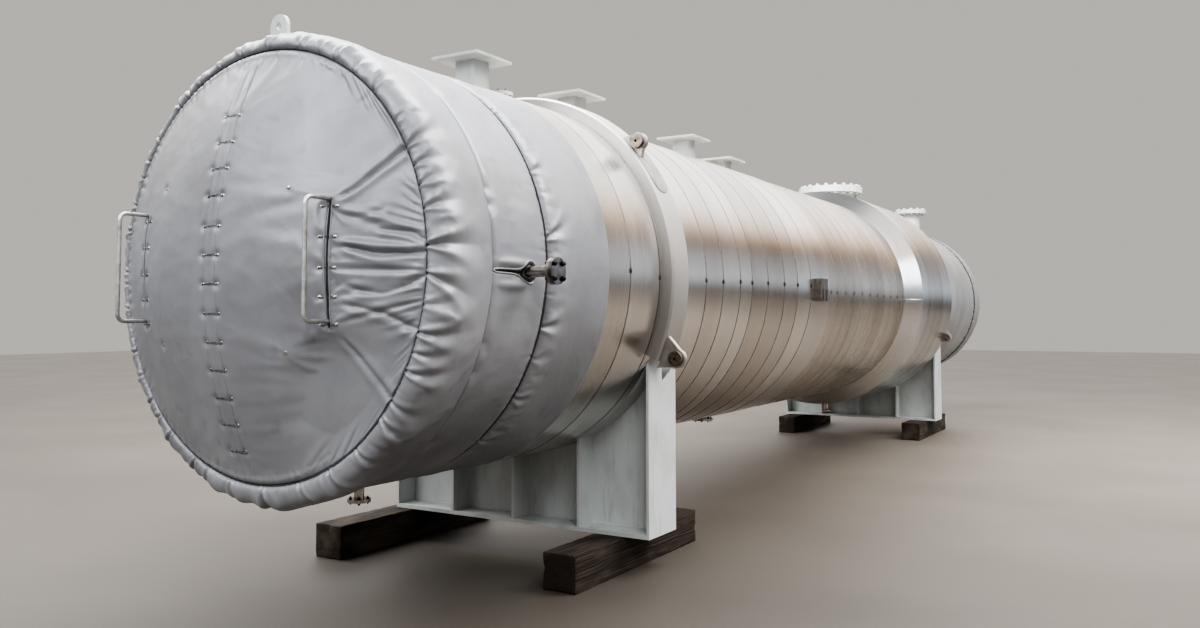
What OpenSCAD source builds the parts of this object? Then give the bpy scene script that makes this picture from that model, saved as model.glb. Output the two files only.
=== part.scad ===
// Shell and tube heat exchanger, lagged and clad, standing on two saddles and four timbers.
// The vessel lies along X with its removable cover at the low end. Z is up, in millimetres.

/* [Shell] */
// Outside radius of the steel shell
shell_r = 1150; // [1120:2:1180]
// Wall of the steel shell
shell_t = 24; // [12:1:40]
// Thickness of the flat steel cover at each end
cover_t = 180; // [120:5:240]

/* [Stretches from front to rear] */
// Front channel blanket, from the cover seam to the second seam
channel_l = 907; // [850:1:980]
// Collar blanket up to the metal cladding
collar_l = 632; // [560:1:700]
// Front cladding, up to the rear edge of the lug ring
front_clad_l = 931; // [860:1:1000]
// Banded main cladding
main_clad_l = 3320; // [3000:1:3600]
// Plain cladding behind the lap
plain_clad_l = 2993; // [2700:1:3300]
// Cone in front of the belt
belt_front_l = 277; // [200:1:340]
// Straight part of the belt
belt_l = 1789; // [1500:1:2000]
// Cone behind the belt
belt_back_l = 150; // [80:1:180]
// Short cladding over the rear saddle
rear_clad_l = 501; // [470:1:600]
// Rear blanket
rear_collar_l = 2270; // [2000:1:2500]
// Rear rim roll
rear_roll_l = 560; // [450:1:650]

/* [Lagging] */
// Thickness of the lagging with its banded cladding, over the shell
lagging_t = 116; // [100:1:135]
// How far the plain cladding lies under the banded one
lap_step = 8; // [4:1:14]
// Thickness over the shell at the belt
belt_t = 270; // [235:1:300]
// Thickness of the front blankets
blanket_t = 112; // [100:1:130]
// Thickness left at the drawn-in seams
seam_t = 78; // [50:1:90]
// Length over which a blanket is drawn in to its seam
seam_run = 70; // [40:1:100]
// Small step where one blanket tucks against the next
tuck = 7; // [3:1:12]
// Thickness of the rear blanket at its far end
rear_blanket_t = 65; // [50:1:90]
// Thickness left at the rear drawn-in seam
rear_seam_t = 18; // [10:1:40]

/* [Covers and rim rolls] */
// Height of the crowned blanket over each cover
crown_h = 280; // [240:1:320]
// How far the crowned blanket's rim stands out over the shell
pad_rim = 18; // [5:1:28]
// Thickness of the blanket's flat back
pad_t = 20; // [12:1:40]
// Thickness of the front rim roll
roll_t = 140; // [125:1:160]
// Length of the front rim roll
roll_l = 330; // [260:1:400]
// Thickness of the rear rim roll
rear_roll_t = 72; // [55:1:100]

/* [Cover handles] */
// Radius of the handle rod
rod_r = 11; // [8:0.5:15]
// Bend radius at the handle's corners
rod_bend = 40; // [25:1:60]
// Height of a handle
handle_h = 620; // [520:5:720]
// Distance from the cover seam to the rod's centre
handle_out = 306; // [290:1:340]
// Near handle, sideways from the middle
near_handle_y = -685; // [-760:5:-640]
// Far handle, sideways from the middle
far_handle_y = 785; // [740:5:860]

/* [Front lifting lug] */
// Place of the lifting lug, from the front seam
lift_x = 110; // [90:1:140]
// Width of the lifting lug
lift_w = 130; // [100:1:160]
// Thickness of the lifting lug
lift_t = 25; // [16:1:40]
// Height of the lug's hole over the shell
lift_eye_h = 180; // [168:1:195]
// Radius of the lug's hole
lift_eye_r = 22; // [16:1:28]

/* [Lug ring] */
// Width of the ring
ring_w = 226; // [180:1:260]
// Height of the ring over the cladding
ring_h = 81; // [64:1:99]
// Slope at the ring's front edge
ring_edge = 14; // [6:1:24]
// Angle of each end of the ring, from straight down
ring_end_angle = 65; // [64:0.5:75]
// Distance from the ring's front edge to its lugs
lug_in = 40; // [20:1:60]
// Thickness of a tie lug
lug_t = 40; // [25:1:60]
// Radius of a lug's round end
lug_end_r = 62; // [55:1:75]
// Half width of a lug's root
lug_root = 140; // [100:1:160]
// Radius of the round boss in a lug
boss_r = 49; // [35:1:54]
// Length of the boss
boss_l = 96; // [70:1:120]
// Radius of the hole in the boss
boss_hole_r = 10; // [6:0.5:16]
// Distance from the ring to the middle of the upper bosses
upper_lug_h = 59; // [48:1:83]
// Angle of the upper lugs, from straight down
upper_lug_angle = 131.5; // [120:0.5:140]
// Distance from the ring to the middle of the lower bosses
lower_lug_h = 105; // [93:1:123]
// Angle of the lower lugs, from straight down
lower_lug_angle = 67.6; // [67:0.1:75]
// Distance from the belt to the middle of its bosses
belt_lug_h = 38; // [30:1:60]

/* [Posts] */
// Side of the square post
post_w = 165; // [140:1:190]
// Wall of the square post
post_t = 10; // [6:0.5:14]
// Side of the square top plate
plate_w = 400; // [360:1:440]
// Thickness of the top plate
plate_t = 20; // [14:1:30]
// Place of post 1, from the front seam
post_1_x = 1791; // [1760:1:1900]
// Place of post 2
post_2_x = 3083; // [2900:1:3300]
// Place of post 3
post_3_x = 5150; // [4900:1:5250]
// Place of post 4
post_4_x = 6049; // [6030:1:6300]
// Height of post 1 over the shell
post_1_h = 383; // [340:1:420]
// Height of post 2 over the shell
post_2_h = 380; // [340:1:420]
// Height of post 3 over the shell
post_3_h = 361; // [320:1:400]
// Height of post 4 over the shell
post_4_h = 272; // [240:1:320]

/* [Nozzles] */
// Wall of a nozzle neck
neck_t = 12; // [8:0.5:16]
// Clearance between a neck or post and the lagging round it
pass_gap = 3; // [1:0.5:8]
// Place of the large inlet, from the belt's front edge
inlet_in = 778; // [640:1:940]
// Height of the inlet's cover over the shell
inlet_h = 401; // [380:1:450]
// Outside radius of the inlet's neck
inlet_neck_r = 330; // [300:1:350]
// Radius of the inlet's flange
inlet_flange_r = 434; // [420:1:450]
// Radius of the inlet's bolt circle
inlet_bolt_r = 391; // [384:1:398]
// Radius of the inlet's bolt holes
inlet_hole_r = 17; // [12:0.5:20]
// Bolts round the inlet's flange
inlet_bolts = 20; // [16:4:24]
// Thickness of the inlet's flange
inlet_flange_t = 56; // [40:1:70]
// Thickness of the inlet's cover
inlet_cover_t = 30; // [20:1:40]
// Place of the rear nozzle, from the rear blanket's front edge
rear_nozzle_in = 1546; // [1400:1:1700]
// Rear nozzle, sideways from the middle
rear_nozzle_y = -351; // [-400:1:-300]
// Height of the rear nozzle's cover over the shell
rear_nozzle_h = 376; // [330:1:430]
// Outside radius of the rear nozzle's neck
rear_neck_r = 140; // [125:1:160]
// Radius of the rear nozzle's flange
rear_flange_r = 248; // [240:1:260]
// Radius of the rear nozzle's bolt circle
rear_bolt_r = 214; // [205:1:220]
// Radius of the rear nozzle's bolt holes
rear_hole_r = 13; // [10:0.5:16]
// Bolts round the rear nozzle's flange
rear_bolts = 12; // [8:4:16]
// Thickness of the rear nozzle's flange
rear_flange_t = 40; // [30:1:50]
// Thickness of the rear nozzle's cover
rear_cover_t = 24; // [16:1:30]
// Place of the small top vent, from the front seam
vent_x = 2118; // [2100:1:2135]
// Height of the vent's flange over the shell
vent_h = 214; // [195:1:230]
// Outside radius of the vent's neck
vent_neck_r = 44.5; // [40:0.5:50]
// Radius of the vent's flange
vent_flange_r = 92; // [85:1:96]
// Thickness of the vent's flange
vent_flange_t = 24; // [18:1:30]
// Place of the side nozzles, from the front seam
side_x = 712; // [680:1:750]
// Height of the side nozzles over the axis
side_z = -38; // [-80:1:40]
// Distance from the shell to the side flanges
side_h = 261; // [230:1:280]
// Outside radius of a side neck
side_neck_r = 30; // [26:0.5:34]
// Radius of a side flange
side_flange_r = 72; // [68:1:80]
// Thickness of a side flange and of its blind
side_flange_t = 19; // [15:0.5:24]
// Radius of a side flange's bolt circle
side_bolt_r = 56; // [52:0.5:58]
// Radius of a side flange's bolt holes
side_hole_r = 9; // [7:0.5:10]
// Place of the front drain, from the front seam
front_drain_x = 750; // [600:1:860]
// Depth of the front drain's flange under the shell
front_drain_h = 225; // [190:1:250]
// Radius of the front drain's flange
front_drain_r = 69; // [60:1:76]
// Place of the main drain, from the front seam
main_drain_x = 5535; // [5400:1:5600]
// Depth of the main drain's flange under the shell
main_drain_h = 170; // [160:1:200]
// Radius of the main drain's flange
main_drain_r = 112; // [100:1:120]
// Place of the belt's drain, from the belt's front edge
belt_drain_in = 457; // [340:1:540]
// Depth of the belt drain's flange under the shell
belt_drain_h = 404; // [350:1:450]
// Radius of the belt drain's flange
belt_drain_r = 60; // [50:1:70]
// Outside radius of the front and belt drain necks
drain_neck_r = 30; // [24:0.5:36]
// Outside radius of the main drain's neck
main_drain_neck_r = 57; // [48:0.5:60]
// Thickness of a drain's flange
drain_flange_t = 20; // [14:1:26]

/* [Nameplate bracket] */
// Place of the bracket's middle, from the front seam
bracket_x = 5456; // [5400:1:5600]
// Height of the bracket's middle over the axis
bracket_z = -15; // [-60:1:60]
// Width of the bracket
bracket_w = 200; // [160:1:240]
// Height of the bracket
bracket_h = 212; // [160:1:240]
// Stand-off from the cladding
bracket_out = 60; // [40:1:80]
// Thickness of the bracket's sheet
bracket_t = 6; // [4:0.5:10]

/* [Saddles] */
// Height of a saddle from its base plate to the shell
saddle_h = 592; // [550:1:650]
// Length of a saddle along the vessel
saddle_l = 400; // [380:1:440]
// Thickness of the base plate
base_t = 28; // [20:1:36]
// Thickness of the web and the ribs
rib_t = 20; // [14:1:26]
// Front edge of the front saddle, from the front seam
front_saddle_x = 2288; // [2250:1:2350]
// Front edge of the rear saddle, from the belt's rear edge
rear_saddle_in = 32; // [11:1:80]
// Half angle of the pad between shell and saddle
pad_angle = 64.5; // [64.2:0.1:65]
// How far the pad's edge stands out past an end plate
pad_edge = 11.7; // [8:0.1:16]
// How far an end plate reaches up past the pad
end_over = 21; // [0:1:30]
// Depth of the notch in an end plate
notch_d = 190; // [120:1:240]
// Place of the notch along an end plate
notch_x = 190; // [150:1:230]
// Radius of the anchor holes
anchor_r = 16.5; // [12:0.5:22]
// Spacing of the anchor holes along the vessel
anchor_dx = 260; // [220:1:300]
// Spacing of the anchor holes across the vessel
anchor_dy = 1260; // [1240:1:1300]
// End to end length of the rear saddle's slots
slot_l = 66; // [50:1:80]

/* [Timbers] */
// Height of a timber
timber_h = 240; // [200:1:300]
// Width of a timber
timber_w = 250; // [200:1:260]
// Length of the front timbers
front_timber_l = 1740; // [1500:1:2000]
// Length of the rear timbers
rear_timber_l = 1740; // [1500:1:2000]
// How far the near front timber stands out before its saddle
near_front_out = 623; // [400:1:800]
// How far the far front timber stands out before its saddle
far_front_out = 758; // [500:1:900]
// How far the rear timbers stand out before their saddle
rear_out = 471; // [250:1:720]
// Near front timber, sideways from the middle
near_front_y = -818; // [-900:1:-800]
// Far front timber, sideways from the middle
far_front_y = 1090; // [900:1:1100]
// Near rear timber, sideways from the middle
near_rear_y = -880; // [-950:1:-800]
// Far rear timber, sideways from the middle
far_rear_y = 955; // [850:1:1000]

/* [Hidden] */
clad_r = shell_r + lagging_t;
plain_r = clad_r - lap_step;
belt_r = shell_r + belt_t;
blanket_r = shell_r + blanket_t;
seam_r = shell_r + seam_t;
rear_blanket_r = shell_r + rear_blanket_t;
rear_seam_r = shell_r + rear_seam_t;
pad_r = shell_r + pad_rim;
roll_r = shell_r + roll_t;
rear_roll_r = shell_r + rear_roll_t;
ring_r = clad_r + ring_h;
lift_eye_z = shell_r + lift_eye_h;
x_collar = channel_l;
x_front_clad = x_collar + collar_l;
x_main_clad = x_front_clad + front_clad_l;
x_plain_clad = x_main_clad + main_clad_l;
x_belt_front = x_plain_clad + plain_clad_l;
x_belt = x_belt_front + belt_front_l;
x_belt_back = x_belt + belt_l;
x_rear_clad = x_belt_back + belt_back_l;
x_rear_collar = x_rear_clad + rear_clad_l;
x_rear_roll = x_rear_collar + rear_collar_l;
x_end = x_rear_roll + rear_roll_l;
x_ring = x_main_clad - ring_w;
inlet_x = x_belt + inlet_in;
inlet_top = shell_r + inlet_h;
belt_drain_x = x_belt + belt_drain_in;
rear_nozzle_x = x_rear_collar + rear_nozzle_in;
rear_nozzle_top = shell_r + rear_nozzle_h;
vent_top = shell_r + vent_h;
side_reach = shell_r + side_h;
rear_saddle_x = x_rear_clad + rear_saddle_in;
saddle_rise = shell_r + saddle_h;
saddle_w = 2 * (clad_r * sin(pad_angle) - pad_edge);
end_top = sqrt(pow(clad_r, 2) - pow(saddle_w / 2, 2)) - end_over;
x_low = -handle_out - rod_r;
x_high = x_end + crown_h;
x_mid = (x_low + x_high) / 2;
axis_z = timber_h + base_t + saddle_rise;
web_x = (saddle_l - rib_t) / 2;
sink = 0.05 * shell_r;
around = 180;

// Places a piece at a distance from the front seam, with Z measured from the axis.
module at(x, y = 0, z = 0) {
    translate([x - x_mid, y, axis_z + z]) children();
}

// Turns a piece drawn along Z so that it runs along the vessel. Its X then points down.
module lengthwise(x) {
    at(x) rotate([0, 90, 0]) children();
}

module round_body(x, length, r) {
    lengthwise(x) cylinder(h = length, r = r, $fn = around);
}

// A solid of revolution about the axis. Each point of the outline is [distance, radius].
module turned(points, from = 0, sweep = 360) {
    lengthwise(0)
        rotate([0, 0, from])
            rotate_extrude(angle = sweep, $fn = around)
                polygon([for (p = points) [p[1], p[0]]]);
}

module sleeve(x0, x1, r0, r1) {
    turned([[x0, shell_r], [x0, r0], [x1, r1], [x1, shell_r]]);
}

module blanket(x0, x1, r0, r_a, r_b, r1) {
    turned([[x0, shell_r], [x0, r0], [x0 + seam_run, r_a], [x1 - seam_run, r_b], [x1, r1], [x1, shell_r]]);
}

module sector(x0, length, r_in, r_out, half) {
    turned([[x0, r_in], [x0, r_out], [x0 + length, r_out], [x0 + length, r_in]], -half, 2 * half);
}

module upright(x, y, z0, z1, r) {
    at(x, y, z0) cylinder(h = z1 - z0, r = r, $fn = 64);
}

module post_core(x, w) {
    at(x - w / 2, -w / 2, 0) cube([w, w, belt_r]);
}

// Every hole that the lagging needs for what stands on the shell.
module pass_holes() {
    for (x = [post_1_x, post_2_x, post_3_x, post_4_x]) post_core(x, post_w + 2 * pass_gap);
    upright(vent_x, 0, 0, vent_top, vent_neck_r + pass_gap);
    upright(inlet_x, 0, 0, inlet_top, inlet_neck_r + pass_gap);
    upright(rear_nozzle_x, rear_nozzle_y, 0, rear_nozzle_top, rear_neck_r + pass_gap);
    upright(front_drain_x, 0, -shell_r - front_drain_h, 0, drain_neck_r + pass_gap);
    upright(main_drain_x, 0, -shell_r - main_drain_h, 0, main_drain_neck_r + pass_gap);
    upright(belt_drain_x, 0, -shell_r - belt_drain_h, 0, drain_neck_r + pass_gap);
    at(side_x, side_reach, side_z) rotate([90, 0, 0])
        cylinder(h = 2 * side_reach, r = side_neck_r + pass_gap, $fn = 48);
    for (x = [front_saddle_x, rear_saddle_x]) sector(x, saddle_l, shell_r - sink, belt_r, pad_angle);
}

module shell() {
    color("slategray") difference() {
        round_body(pad_t + cover_t, x_end - 2 * (pad_t + cover_t), shell_r);
        round_body(pad_t + cover_t - 1, x_end - 2 * (pad_t + cover_t) + 2, shell_r - shell_t);
    }
}

module front_cover() {
    color("slategray") round_body(pad_t, cover_t, shell_r);
}

module rear_cover() {
    color("slategray") round_body(x_end - pad_t - cover_t, cover_t, shell_r);
}

// A crowned disc on a thin flat back. Its face is a parabola in rings, and bulges towards -X.
module crowned_disc() {
    rings = 16;
    rotate_extrude($fn = around)
        polygon([[0, pad_t], [shell_r, pad_t], [shell_r, 0],
                 for (i = [rings : -1 : 0]) [pad_r * i / rings, crown_h * (pow(i / rings, 2) - 1)]]);
}

module front_pad() {
    color("silver") difference() {
        lengthwise(0) crowned_disc();
        for (y = [near_handle_y, far_handle_y], s = [-1, 1])
            at(-crown_h - 1, y, s * (handle_h / 2 - rod_r)) rotate([0, 90, 0])
                cylinder(h = crown_h + pad_t + 2, r = rod_r + pass_gap, $fn = 32);
    }
}

module rear_pad() {
    color("silver") at(x_end) rotate([0, -90, 0]) crowned_disc();
}

module front_rim_roll() {
    color("silver") difference() {
        turned([[0, shell_r], [0, pad_r + tuck], [0.06 * roll_l, seam_r + tuck],
                [0.21 * roll_l, roll_r - 2 * tuck], [0.42 * roll_l, roll_r],
                [0.7 * roll_l, roll_r - tuck], [roll_l, blanket_r - tuck], [roll_l, shell_r]]);
        lifting_plate(1);
    }
}

module channel_blanket() {
    color("silver") difference() {
        turned([[roll_l, shell_r], [roll_l, blanket_r - tuck], [roll_l + seam_run, blanket_r],
                [channel_l - seam_run, blanket_r], [channel_l, seam_r], [channel_l, shell_r]]);
        pass_holes();
    }
}

module collar_blanket() {
    color("silver") difference() {
        blanket(x_collar, x_front_clad, seam_r, blanket_r, clad_r, clad_r - tuck);
        pass_holes();
    }
}

module rear_blanket() {
    color("silver") difference() {
        blanket(x_rear_collar, x_rear_roll, clad_r - tuck, clad_r, rear_blanket_r, rear_seam_r);
        pass_holes();
    }
}

module rear_rim_roll() {
    color("silver") turned([[x_rear_roll, shell_r], [x_rear_roll, rear_seam_r],
        [x_rear_roll + 0.11 * rear_roll_l, rear_roll_r - tuck],
        [x_rear_roll + 0.39 * rear_roll_l, rear_roll_r],
        [x_end - 0.16 * rear_roll_l, rear_roll_r - 2 * tuck], [x_end, pad_r + tuck], [x_end, shell_r]]);
}

// A handle is one bent rod. Both legs end on the steel cover under the blanket.
module handle(y) {
    rise = handle_h / 2 - rod_r;
    leg = handle_out + pad_t - rod_bend;
    at(-handle_out, y, rod_bend - rise) cylinder(h = 2 * (rise - rod_bend), r = rod_r, $fn = 32);
    for (s = [0, 1]) at(0, y, 0) mirror([0, 0, s]) {
        translate([rod_bend - handle_out, 0, rise]) rotate([0, 90, 0])
            cylinder(h = leg, r = rod_r, $fn = 32);
        translate([rod_bend - handle_out, 0, rise - rod_bend]) rotate([90, 0, 0])
            rotate([0, 0, 90]) rotate_extrude(angle = 90, $fn = 32)
                translate([rod_bend, 0]) circle(r = rod_r, $fn = 32);
    }
}

module cover_handles() {
    color("gainsboro") {
        handle(near_handle_y);
        handle(far_handle_y);
    }
}

// The lifting lug's outline, widened all round by a gap where it cuts a slot.
module lifting_plate(gap = 0) {
    at(lift_x - lift_t / 2 - gap, 0, 0) rotate([90, 0, 90]) linear_extrude(lift_t + 2 * gap) {
        translate([-lift_w / 2 - gap, shell_r - sink]) square([lift_w + 2 * gap, lift_eye_h + sink]);
        translate([0, lift_eye_z]) circle(r = lift_w / 2 + gap, $fn = 48);
    }
}

module lifting_lug() {
    color("gainsboro") difference() {
        lifting_plate();
        round_body(0, 2 * lift_x, shell_r);
        at(0, 0, lift_eye_z) rotate([0, 90, 0]) cylinder(h = 2 * lift_x, r = lift_eye_r, $fn = 48);
    }
}

module flange_holes(count, circle_r, hole_r, length) {
    for (i = [0 : count - 1]) rotate([0, 0, (i + 0.5) * 360 / count])
        translate([circle_r, 0, -1]) cylinder(h = length + 2, r = hole_r, $fn = 24);
}

// Draws a side piece on both sides of the vessel, pointing outwards from the middle.
module both_sides() {
    for (s = [0, 1]) mirror([0, s, 0]) at(side_x, 0, side_z) rotate([90, 0, 0]) children();
}

module side_nozzles() {
    color("dimgray") difference() {
        both_sides() {
            translate([0, 0, shell_r - sink]) cylinder(h = side_h + sink, r = side_neck_r, $fn = 48);
            translate([0, 0, side_reach]) cylinder(h = side_flange_t, r = side_flange_r, $fn = 64);
        }
        round_body(side_x - side_flange_r, 2 * side_flange_r, shell_r);
        both_sides() translate([0, 0, side_reach])
            flange_holes(4, side_bolt_r, side_hole_r, side_flange_t);
    }
}

module side_blinds() {
    color("dimgray") both_sides() translate([0, 0, side_reach + side_flange_t]) difference() {
        cylinder(h = side_flange_t, r = side_flange_r, $fn = 64);
        flange_holes(4, side_bolt_r, side_hole_r, side_flange_t);
    }
}

module front_cladding() {
    color("lightgray") difference() {
        sleeve(x_front_clad, x_main_clad, clad_r, clad_r);
        pass_holes();
    }
}

module main_cladding() {
    color("lightgray") difference() {
        sleeve(x_main_clad, x_plain_clad, clad_r, clad_r);
        pass_holes();
    }
}

module plain_cladding() {
    color("lightgray") difference() {
        sleeve(x_plain_clad, x_belt_front, plain_r, plain_r);
        pass_holes();
    }
}

module belt_cladding() {
    color("white") difference() {
        turned([[x_belt_front, shell_r], [x_belt_front, plain_r], [x_belt, belt_r],
                [x_belt_back, belt_r], [x_rear_clad, clad_r], [x_rear_clad, shell_r]]);
        pass_holes();
    }
}

module rear_cladding() {
    color("lightgray") difference() {
        sleeve(x_rear_clad, x_rear_collar, clad_r, clad_r);
        pass_holes();
    }
}

module lug_ring() {
    color("lightgray") turned([[x_ring, clad_r], [x_ring, ring_r - ring_edge], [x_ring + ring_edge, ring_r],
        [x_main_clad, ring_r], [x_main_clad, clad_r]], ring_end_angle, 360 - 2 * ring_end_angle);
}

// A tie lug stands out from the body it is welded to and carries a round boss along the vessel.
module tie_lug(x, angle, eye_r, seat_r) {
    lengthwise(x) rotate([0, 0, angle]) difference() {
        union() {
            linear_extrude(lug_t) difference() {
                union() {
                    translate([eye_r, 0]) circle(r = lug_end_r, $fn = 64);
                    polygon([[seat_r - sink, -lug_root], [eye_r, -lug_end_r], [eye_r, lug_end_r],
                             [seat_r - sink, lug_root]]);
                }
                circle(r = seat_r, $fn = around);
            }
            translate([eye_r, 0, (lug_t - boss_l) / 2]) cylinder(h = boss_l, r = boss_r, $fn = 48);
        }
        translate([0, 0, (lug_t - boss_l) / 2 - 1]) cylinder(h = boss_l + 2, r = seat_r, $fn = around);
        translate([eye_r, 0, (lug_t - boss_l) / 2 - 1])
            cylinder(h = boss_l + 2, r = boss_hole_r, $fn = 32);
    }
}

module ring_lugs() {
    color("gray") for (s = [-1, 1]) {
        tie_lug(x_ring + lug_in, s * upper_lug_angle, ring_r + upper_lug_h, ring_r);
        tie_lug(x_ring + lug_in, s * lower_lug_angle, ring_r + lower_lug_h, ring_r);
    }
}

module belt_lugs() {
    color("gray") for (s = [-1, 1])
        tie_lug(x_belt_back - lug_t, s * lower_lug_angle, belt_r + belt_lug_h, belt_r);
}

module post(x, h) {
    top = shell_r + h;
    color("whitesmoke") {
        difference() {
            at(x - post_w / 2, -post_w / 2, shell_r - sink) cube([post_w, post_w, h + sink - plate_t]);
            at(x - post_w / 2 + post_t, -post_w / 2 + post_t, shell_r - 2 * sink)
                cube([post_w - 2 * post_t, post_w - 2 * post_t, h + 2 * sink - plate_t]);
            round_body(x - post_w, 2 * post_w, shell_r);
        }
        at(x - plate_w / 2, -plate_w / 2, top - plate_t) cube([plate_w, plate_w, plate_t]);
    }
}

module post_1() {
    post(post_1_x, post_1_h);
}

module post_2() {
    post(post_2_x, post_2_h);
}

module post_3() {
    post(post_3_x, post_3_h);
}

module post_4() {
    post(post_4_x, post_4_h);
}

// A vertical neck from the shell to the underside of its flange, with the flange on top.
module nozzle(x, y, z_face, neck_r, flange_r, flange_t, bolts = 0, circle_r = 0, hole_r = 1) {
    difference() {
        union() {
            upright(x, y, shell_r * 0.9, z_face, neck_r);
            upright(x, y, z_face - flange_t, z_face, flange_r);
        }
        upright(x, y, 0, z_face + 1, neck_r - neck_t);
        round_body(x - flange_r, 2 * flange_r, shell_r);
        if (bolts > 0) at(x, y, z_face - flange_t) flange_holes(bolts, circle_r, hole_r, flange_t);
    }
}

module vent_nozzle() {
    color("whitesmoke") difference() {
        union() {
            upright(vent_x, 0, shell_r - sink, vent_top, vent_neck_r);
            upright(vent_x, 0, vent_top - vent_flange_t, vent_top, vent_flange_r);
        }
        round_body(vent_x - vent_flange_r, 2 * vent_flange_r, shell_r);
    }
}

module inlet_nozzle() {
    color("whitesmoke") nozzle(inlet_x, 0, inlet_top - inlet_cover_t, inlet_neck_r, inlet_flange_r,
        inlet_flange_t, inlet_bolts, inlet_bolt_r, inlet_hole_r);
}

module inlet_cover() {
    color("whitesmoke") at(inlet_x, 0, inlet_top - inlet_cover_t) difference() {
        cylinder(h = inlet_cover_t, r = inlet_flange_r, $fn = around);
        flange_holes(inlet_bolts, inlet_bolt_r, inlet_hole_r, inlet_cover_t);
    }
}

module rear_nozzle() {
    color("whitesmoke") nozzle(rear_nozzle_x, rear_nozzle_y, rear_nozzle_top - rear_cover_t, rear_neck_r,
        rear_flange_r, rear_flange_t, rear_bolts, rear_bolt_r, rear_hole_r);
}

module rear_nozzle_cover() {
    color("whitesmoke") at(rear_nozzle_x, rear_nozzle_y, rear_nozzle_top - rear_cover_t) difference() {
        cylinder(h = rear_cover_t, r = rear_flange_r, $fn = around);
        flange_holes(rear_bolts, rear_bolt_r, rear_hole_r, rear_cover_t);
    }
}

module drain(x, h, neck_r, flange_r) {
    face = -shell_r - h;
    difference() {
        union() {
            upright(x, 0, face, sink - shell_r, neck_r);
            upright(x, 0, face, face + drain_flange_t, flange_r);
        }
        round_body(x - flange_r, 2 * flange_r, shell_r);
    }
}

module drains() {
    color("whitesmoke") {
        drain(front_drain_x, front_drain_h, drain_neck_r, front_drain_r);
        drain(main_drain_x, main_drain_h, main_drain_neck_r, main_drain_r);
        drain(belt_drain_x, belt_drain_h, drain_neck_r, belt_drain_r);
    }
}

module nameplate_bracket() {
    face = clad_r + bracket_out;
    color("gray") difference() {
        at(bracket_x - bracket_w / 2, -face, bracket_z - bracket_h / 2)
            cube([bracket_w, bracket_out + sink, bracket_h]);
        at(bracket_x - bracket_w / 2 + bracket_t, bracket_t - face, bracket_z - bracket_h)
            cube([bracket_w - 2 * bracket_t, bracket_out + sink, 2 * bracket_h]);
        round_body(bracket_x - bracket_w, 2 * bracket_w, clad_r);
    }
}

module saddle_pad(x) {
    color("whitesmoke") sector(x, saddle_l, shell_r, clad_r, pad_angle);
}

module saddle_web(x) {
    color("whitesmoke") difference() {
        at(x + web_x, rib_t - saddle_w / 2, -saddle_rise)
            cube([rib_t, saddle_w - 2 * rib_t, saddle_rise - end_top]);
        round_body(x - rib_t, saddle_l + 2 * rib_t, clad_r);
    }
}

// The two end plates, notched at the top, and three ribs on each face of the web.
module saddle_ribs(x) {
    color("whitesmoke") difference() {
        union() {
            for (y = [-saddle_w / 2, saddle_w / 2 - rib_t]) at(x, y + rib_t, -saddle_rise)
                rotate([90, 0, 0]) linear_extrude(rib_t) end_plate_outline();
            for (k = [-1 : 1], s = [0, 1])
                at(x + s * (web_x + rib_t), k * saddle_w / 4 - rib_t / 2, -saddle_rise)
                    cube([web_x, rib_t, saddle_rise - end_top]);
        }
        round_body(x - rib_t, saddle_l + 2 * rib_t, clad_r);
    }
}

module end_plate_outline() {
    h = saddle_rise - end_top;
    polygon([[0, 0], [0, h], [0.96 * notch_x, h], [1.04 * notch_x, h - notch_d],
             [0.94 * saddle_l, h - 0.5 * notch_d], [saddle_l, h - 0.56 * notch_d], [saddle_l, 0]]);
}

module saddle_base(x, slot) {
    color("whitesmoke") difference() {
        at(x, -saddle_w / 2, -saddle_rise - base_t) cube([saddle_l, saddle_w, base_t]);
        for (i = [-1, 1], j = [-1, 1])
            at(x + saddle_l / 2 + i * anchor_dx / 2, j * anchor_dy / 2, -saddle_rise - base_t - 1)
                anchor_hole(slot);
    }
}

module anchor_hole(slot) {
    run = slot > 0 ? slot / 2 - anchor_r : 0;
    for (s = [-1, 1]) translate([s * run, 0, 0]) cylinder(h = base_t + 2, r = anchor_r, $fn = 32);
    if (run > 0) translate([-run, -anchor_r, 0]) cube([2 * run, 2 * anchor_r, base_t + 2]);
}

module front_saddle_pad() {
    saddle_pad(front_saddle_x);
}

module front_saddle_web() {
    saddle_web(front_saddle_x);
}

module front_saddle_ribs() {
    saddle_ribs(front_saddle_x);
}

module front_saddle_base() {
    saddle_base(front_saddle_x, 0);
}

module rear_saddle_pad() {
    saddle_pad(rear_saddle_x);
}

module rear_saddle_web() {
    saddle_web(rear_saddle_x);
}

module rear_saddle_ribs() {
    saddle_ribs(rear_saddle_x);
}

module rear_saddle_base() {
    saddle_base(rear_saddle_x, slot_l);
}

module timber(x, y, length) {
    color("saddlebrown") translate([x - x_mid, y - timber_w / 2, 0]) cube([length, timber_w, timber_h]);
}

module near_front_timber() {
    timber(front_saddle_x - near_front_out, near_front_y, front_timber_l);
}

module far_front_timber() {
    timber(front_saddle_x - far_front_out, far_front_y, front_timber_l);
}

module near_rear_timber() {
    timber(rear_saddle_x - rear_out, near_rear_y, rear_timber_l);
}

module far_rear_timber() {
    timber(rear_saddle_x - rear_out, far_rear_y, rear_timber_l);
}

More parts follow.
